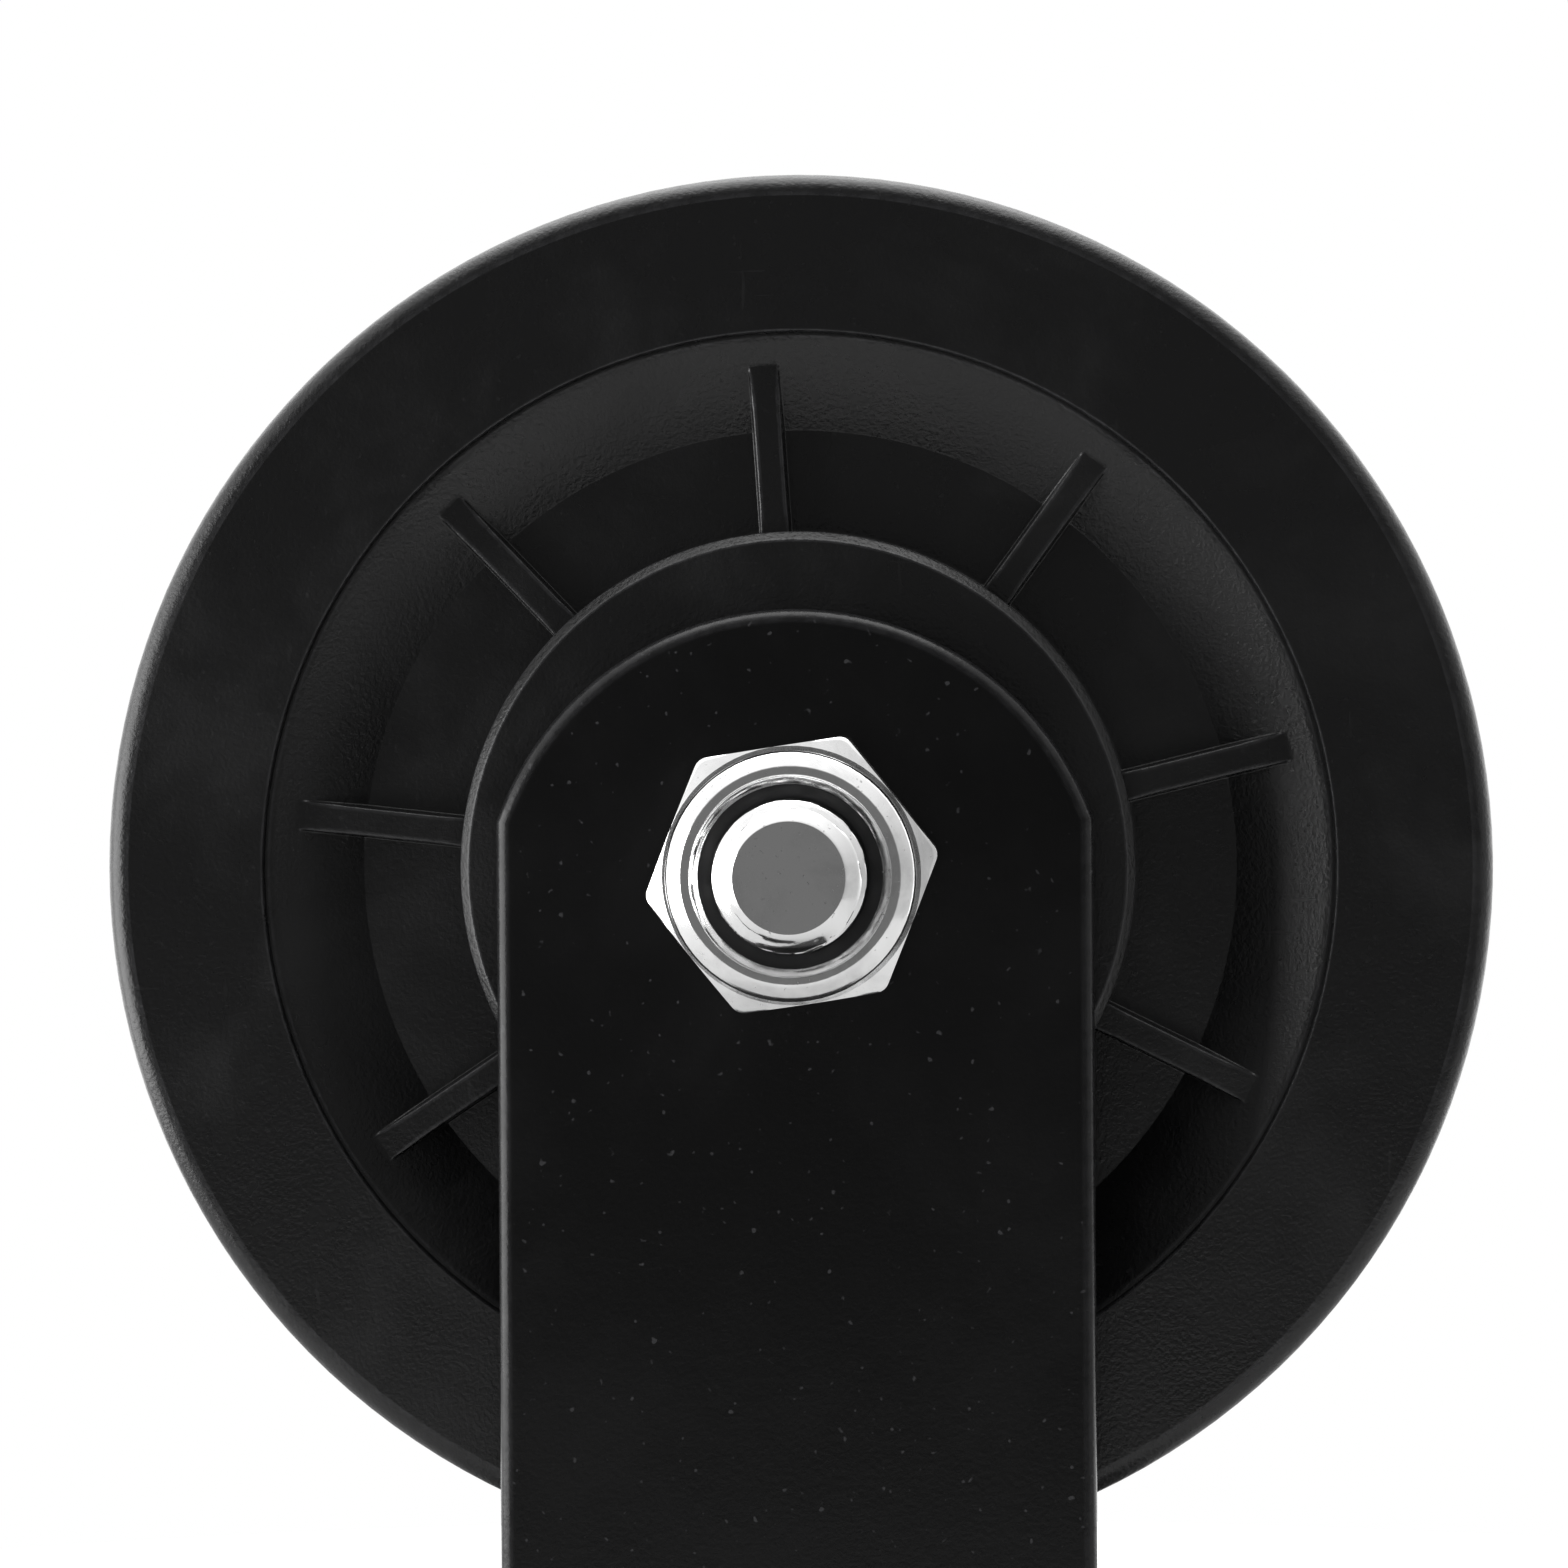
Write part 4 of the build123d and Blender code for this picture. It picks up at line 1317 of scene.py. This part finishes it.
def studio_world(settings):
    """World light: brightest behind the block, bright at upper left, dimmer at lower right, dark in front.

    The camera sees plain white. For light, the brightness is a function of the direction (x, y, z). It falls
    from the left to the right level as x - 0.75 z grows, passes into the back level as y grows, and into the
    front level inside a cone round -Y.
    """
    world = bpy.data.worlds.new("Studio")
    world.use_nodes = True
    tree = world.node_tree
    tree.nodes.clear()
    out = tree.nodes.new("ShaderNodeOutputWorld")
    direction = tree.nodes.new("ShaderNodeSeparateXYZ")
    tree.links.new(tree.nodes.new("ShaderNodeTexCoord").outputs["Generated"], direction.inputs[0])
    x, y, z = direction.outputs
    lean = maths(tree, "MULTIPLY_ADD", z, -0.75, x)
    side = ranged(tree, lean, *LEFT_TO_RIGHT, settings.left_light, settings.right_light)
    behind = ranged(tree, y, *SIDE_TO_BACK)
    around = maths(tree, "MULTIPLY_ADD", behind, maths(tree, "SUBTRACT", settings.back_light, side), side)
    outside_cone = ranged(tree, y, *FRONT_CONE)
    above_front = maths(tree, "SUBTRACT", around, settings.front_light)
    strength = maths(tree, "MULTIPLY_ADD", outside_cone, above_front, settings.front_light)
    shown = tree.nodes.new("ShaderNodeBackground")
    shown.inputs["Color"].default_value = (1, 1, 1, 1)
    lit = tree.nodes.new("ShaderNodeBackground")
    tree.links.new(strength, lit.inputs["Strength"])
    mix = tree.nodes.new("ShaderNodeMixShader")
    tree.links.new(tree.nodes.new("ShaderNodeLightPath").outputs["Is Camera Ray"], mix.inputs[0])
    tree.links.new(lit.outputs[0], mix.inputs[1])
    tree.links.new(shown.outputs[0], mix.inputs[2])
    tree.links.new(mix.outputs[0], out.inputs[0])
    bpy.context.scene.world = world


def softbox(name, place, target, width, height, power):
    """A rectangular area light that faces a target."""
    light = bpy.data.lights.new(name, "AREA")
    light.shape, light.size, light.size_y, light.energy = "RECTANGLE", width, height, power
    lamp = bpy.data.objects.new(name, light)
    lamp.location = place
    lamp.rotation_euler = (Vector(target) - Vector(place)).to_track_quat("-Z", "Y").to_euler()
    bpy.context.scene.collection.objects.link(lamp)


def floor_material():
    """Plain pale floor with the faintest mottling, lifted to near white where the camera sees it."""
    material = bpy.data.materials.new("Pale floor")
    material.use_nodes = True
    tree = material.node_tree
    shader = tree.nodes["Principled BSDF"]
    mottle = noise(tree, object_place(tree), 6.0, 3.0)
    tree.links.new(blend_colour(tree, mottle, *FLOOR_SHADES), shader.inputs["Base Color"])
    shader.inputs["Roughness"].default_value = 0.7
    seen = tree.nodes.new("ShaderNodeLightPath").outputs["Is Camera Ray"]
    tree.links.new(seen, shader.inputs["Emission Color"])
    shader.inputs["Emission Strength"].default_value = FLOOR_GLOW
    return material


class SHEAVEBLOCK_OT_stage(BlockOperator, bpy.types.Operator):
    """Add the floor, the lights and the camera"""

    bl_idname = "sheaveblock.stage"
    bl_label = "Stage"

    def execute(self, context):
        settings = context.scene.sheave_block.stage
        axle = axle_height()
        ground = span("base_plate")[0][2] - FLOOR_GAP
        rim = turned([settings.floor_radius], [ground], even_angles(ROUND_STEPS))[0]
        mesh = bpy.data.meshes.new("Floor")
        mesh.from_pydata(rim.tolist(), [], [tuple(range(len(rim)))])
        floor = bpy.data.objects.new("Floor", mesh)
        mesh.materials.append(floor_material())
        context.scene.collection.objects.link(floor)

        studio_world(settings)
        for name, place, width, height, power in SOFTBOXES:
            softbox(name, place, (0, 0, axle), width, height, getattr(settings, power))

        aim = Vector((-settings.aim_left, 0, axle + settings.aim_up))
        a, e = settings.azimuth, settings.elevation
        back = Vector((sin(a) * cos(e), -cos(a) * cos(e), sin(e)))
        lens = bpy.data.cameras.new("Camera")
        lens.sensor_width = 36.0
        lens.lens = lens.sensor_width * settings.distance / settings.field_width
        lens.clip_start, lens.clip_end = 0.02, 20.0
        camera = bpy.data.objects.new("Camera", lens)
        camera.location = aim + back * settings.distance
        upright_view = (-back).to_track_quat("-Z", "Y")
        camera.rotation_euler = (upright_view @ Quaternion((0, 0, 1), settings.roll)).to_euler()
        context.scene.collection.objects.link(camera)
        context.scene.camera = camera
        context.scene.view_settings.view_transform = "Standard"
        return {"FINISHED"}


OPERATORS = (
    SHEAVEBLOCK_OT_materials,
    SHEAVEBLOCK_OT_sheave,
    SHEAVEBLOCK_OT_fork,
    SHEAVEBLOCK_OT_base_plate,
    SHEAVEBLOCK_OT_axle_fasteners,
    SHEAVEBLOCK_OT_pivot_fasteners,
    SHEAVEBLOCK_OT_rings,
    SHEAVEBLOCK_OT_inner_parts,
    SHEAVEBLOCK_OT_stage,
)


class SHEAVEBLOCK_PT_panel(bpy.types.Panel):
    """Sidebar panel with one button for each operator, and the settings"""

    bl_idname = "SHEAVEBLOCK_PT_panel"
    bl_label = "Sheave Block"
    bl_space_type = "VIEW_3D"
    bl_region_type = "UI"
    bl_category = "Sheave Block"

    def draw(self, context):
        for operator in OPERATORS:
            self.layout.operator(operator.bl_idname)
        for name, group in GROUPS.items():
            box = self.layout.box()
            box.label(text=name.capitalize())
            for key in group.__annotations__:
                box.prop(getattr(context.scene.sheave_block, name), key)


CLASSES = (*GROUPS.values(), BlockSettings, *OPERATORS, SHEAVEBLOCK_PT_panel)


def register():
    for item in CLASSES:
        bpy.utils.register_class(item)
    bpy.types.Scene.sheave_block = PointerProperty(
        type=BlockSettings, name="Sheave block", description="Settings of the sheave block"
    )


def unregister():
    del bpy.types.Scene.sheave_block
    for item in reversed(CLASSES):
        bpy.utils.unregister_class(item)


def main():
    register()
    bpy.ops.sheaveblock.materials()
    bpy.ops.sheaveblock.sheave()
    bpy.ops.sheaveblock.fork()
    bpy.ops.sheaveblock.base_plate()
    bpy.ops.sheaveblock.axle_fasteners()
    bpy.ops.sheaveblock.pivot_fasteners()
    bpy.ops.sheaveblock.rings()
    bpy.ops.sheaveblock.inner_parts()
    bpy.ops.sheaveblock.stage()


if __name__ == "__main__":
    main()
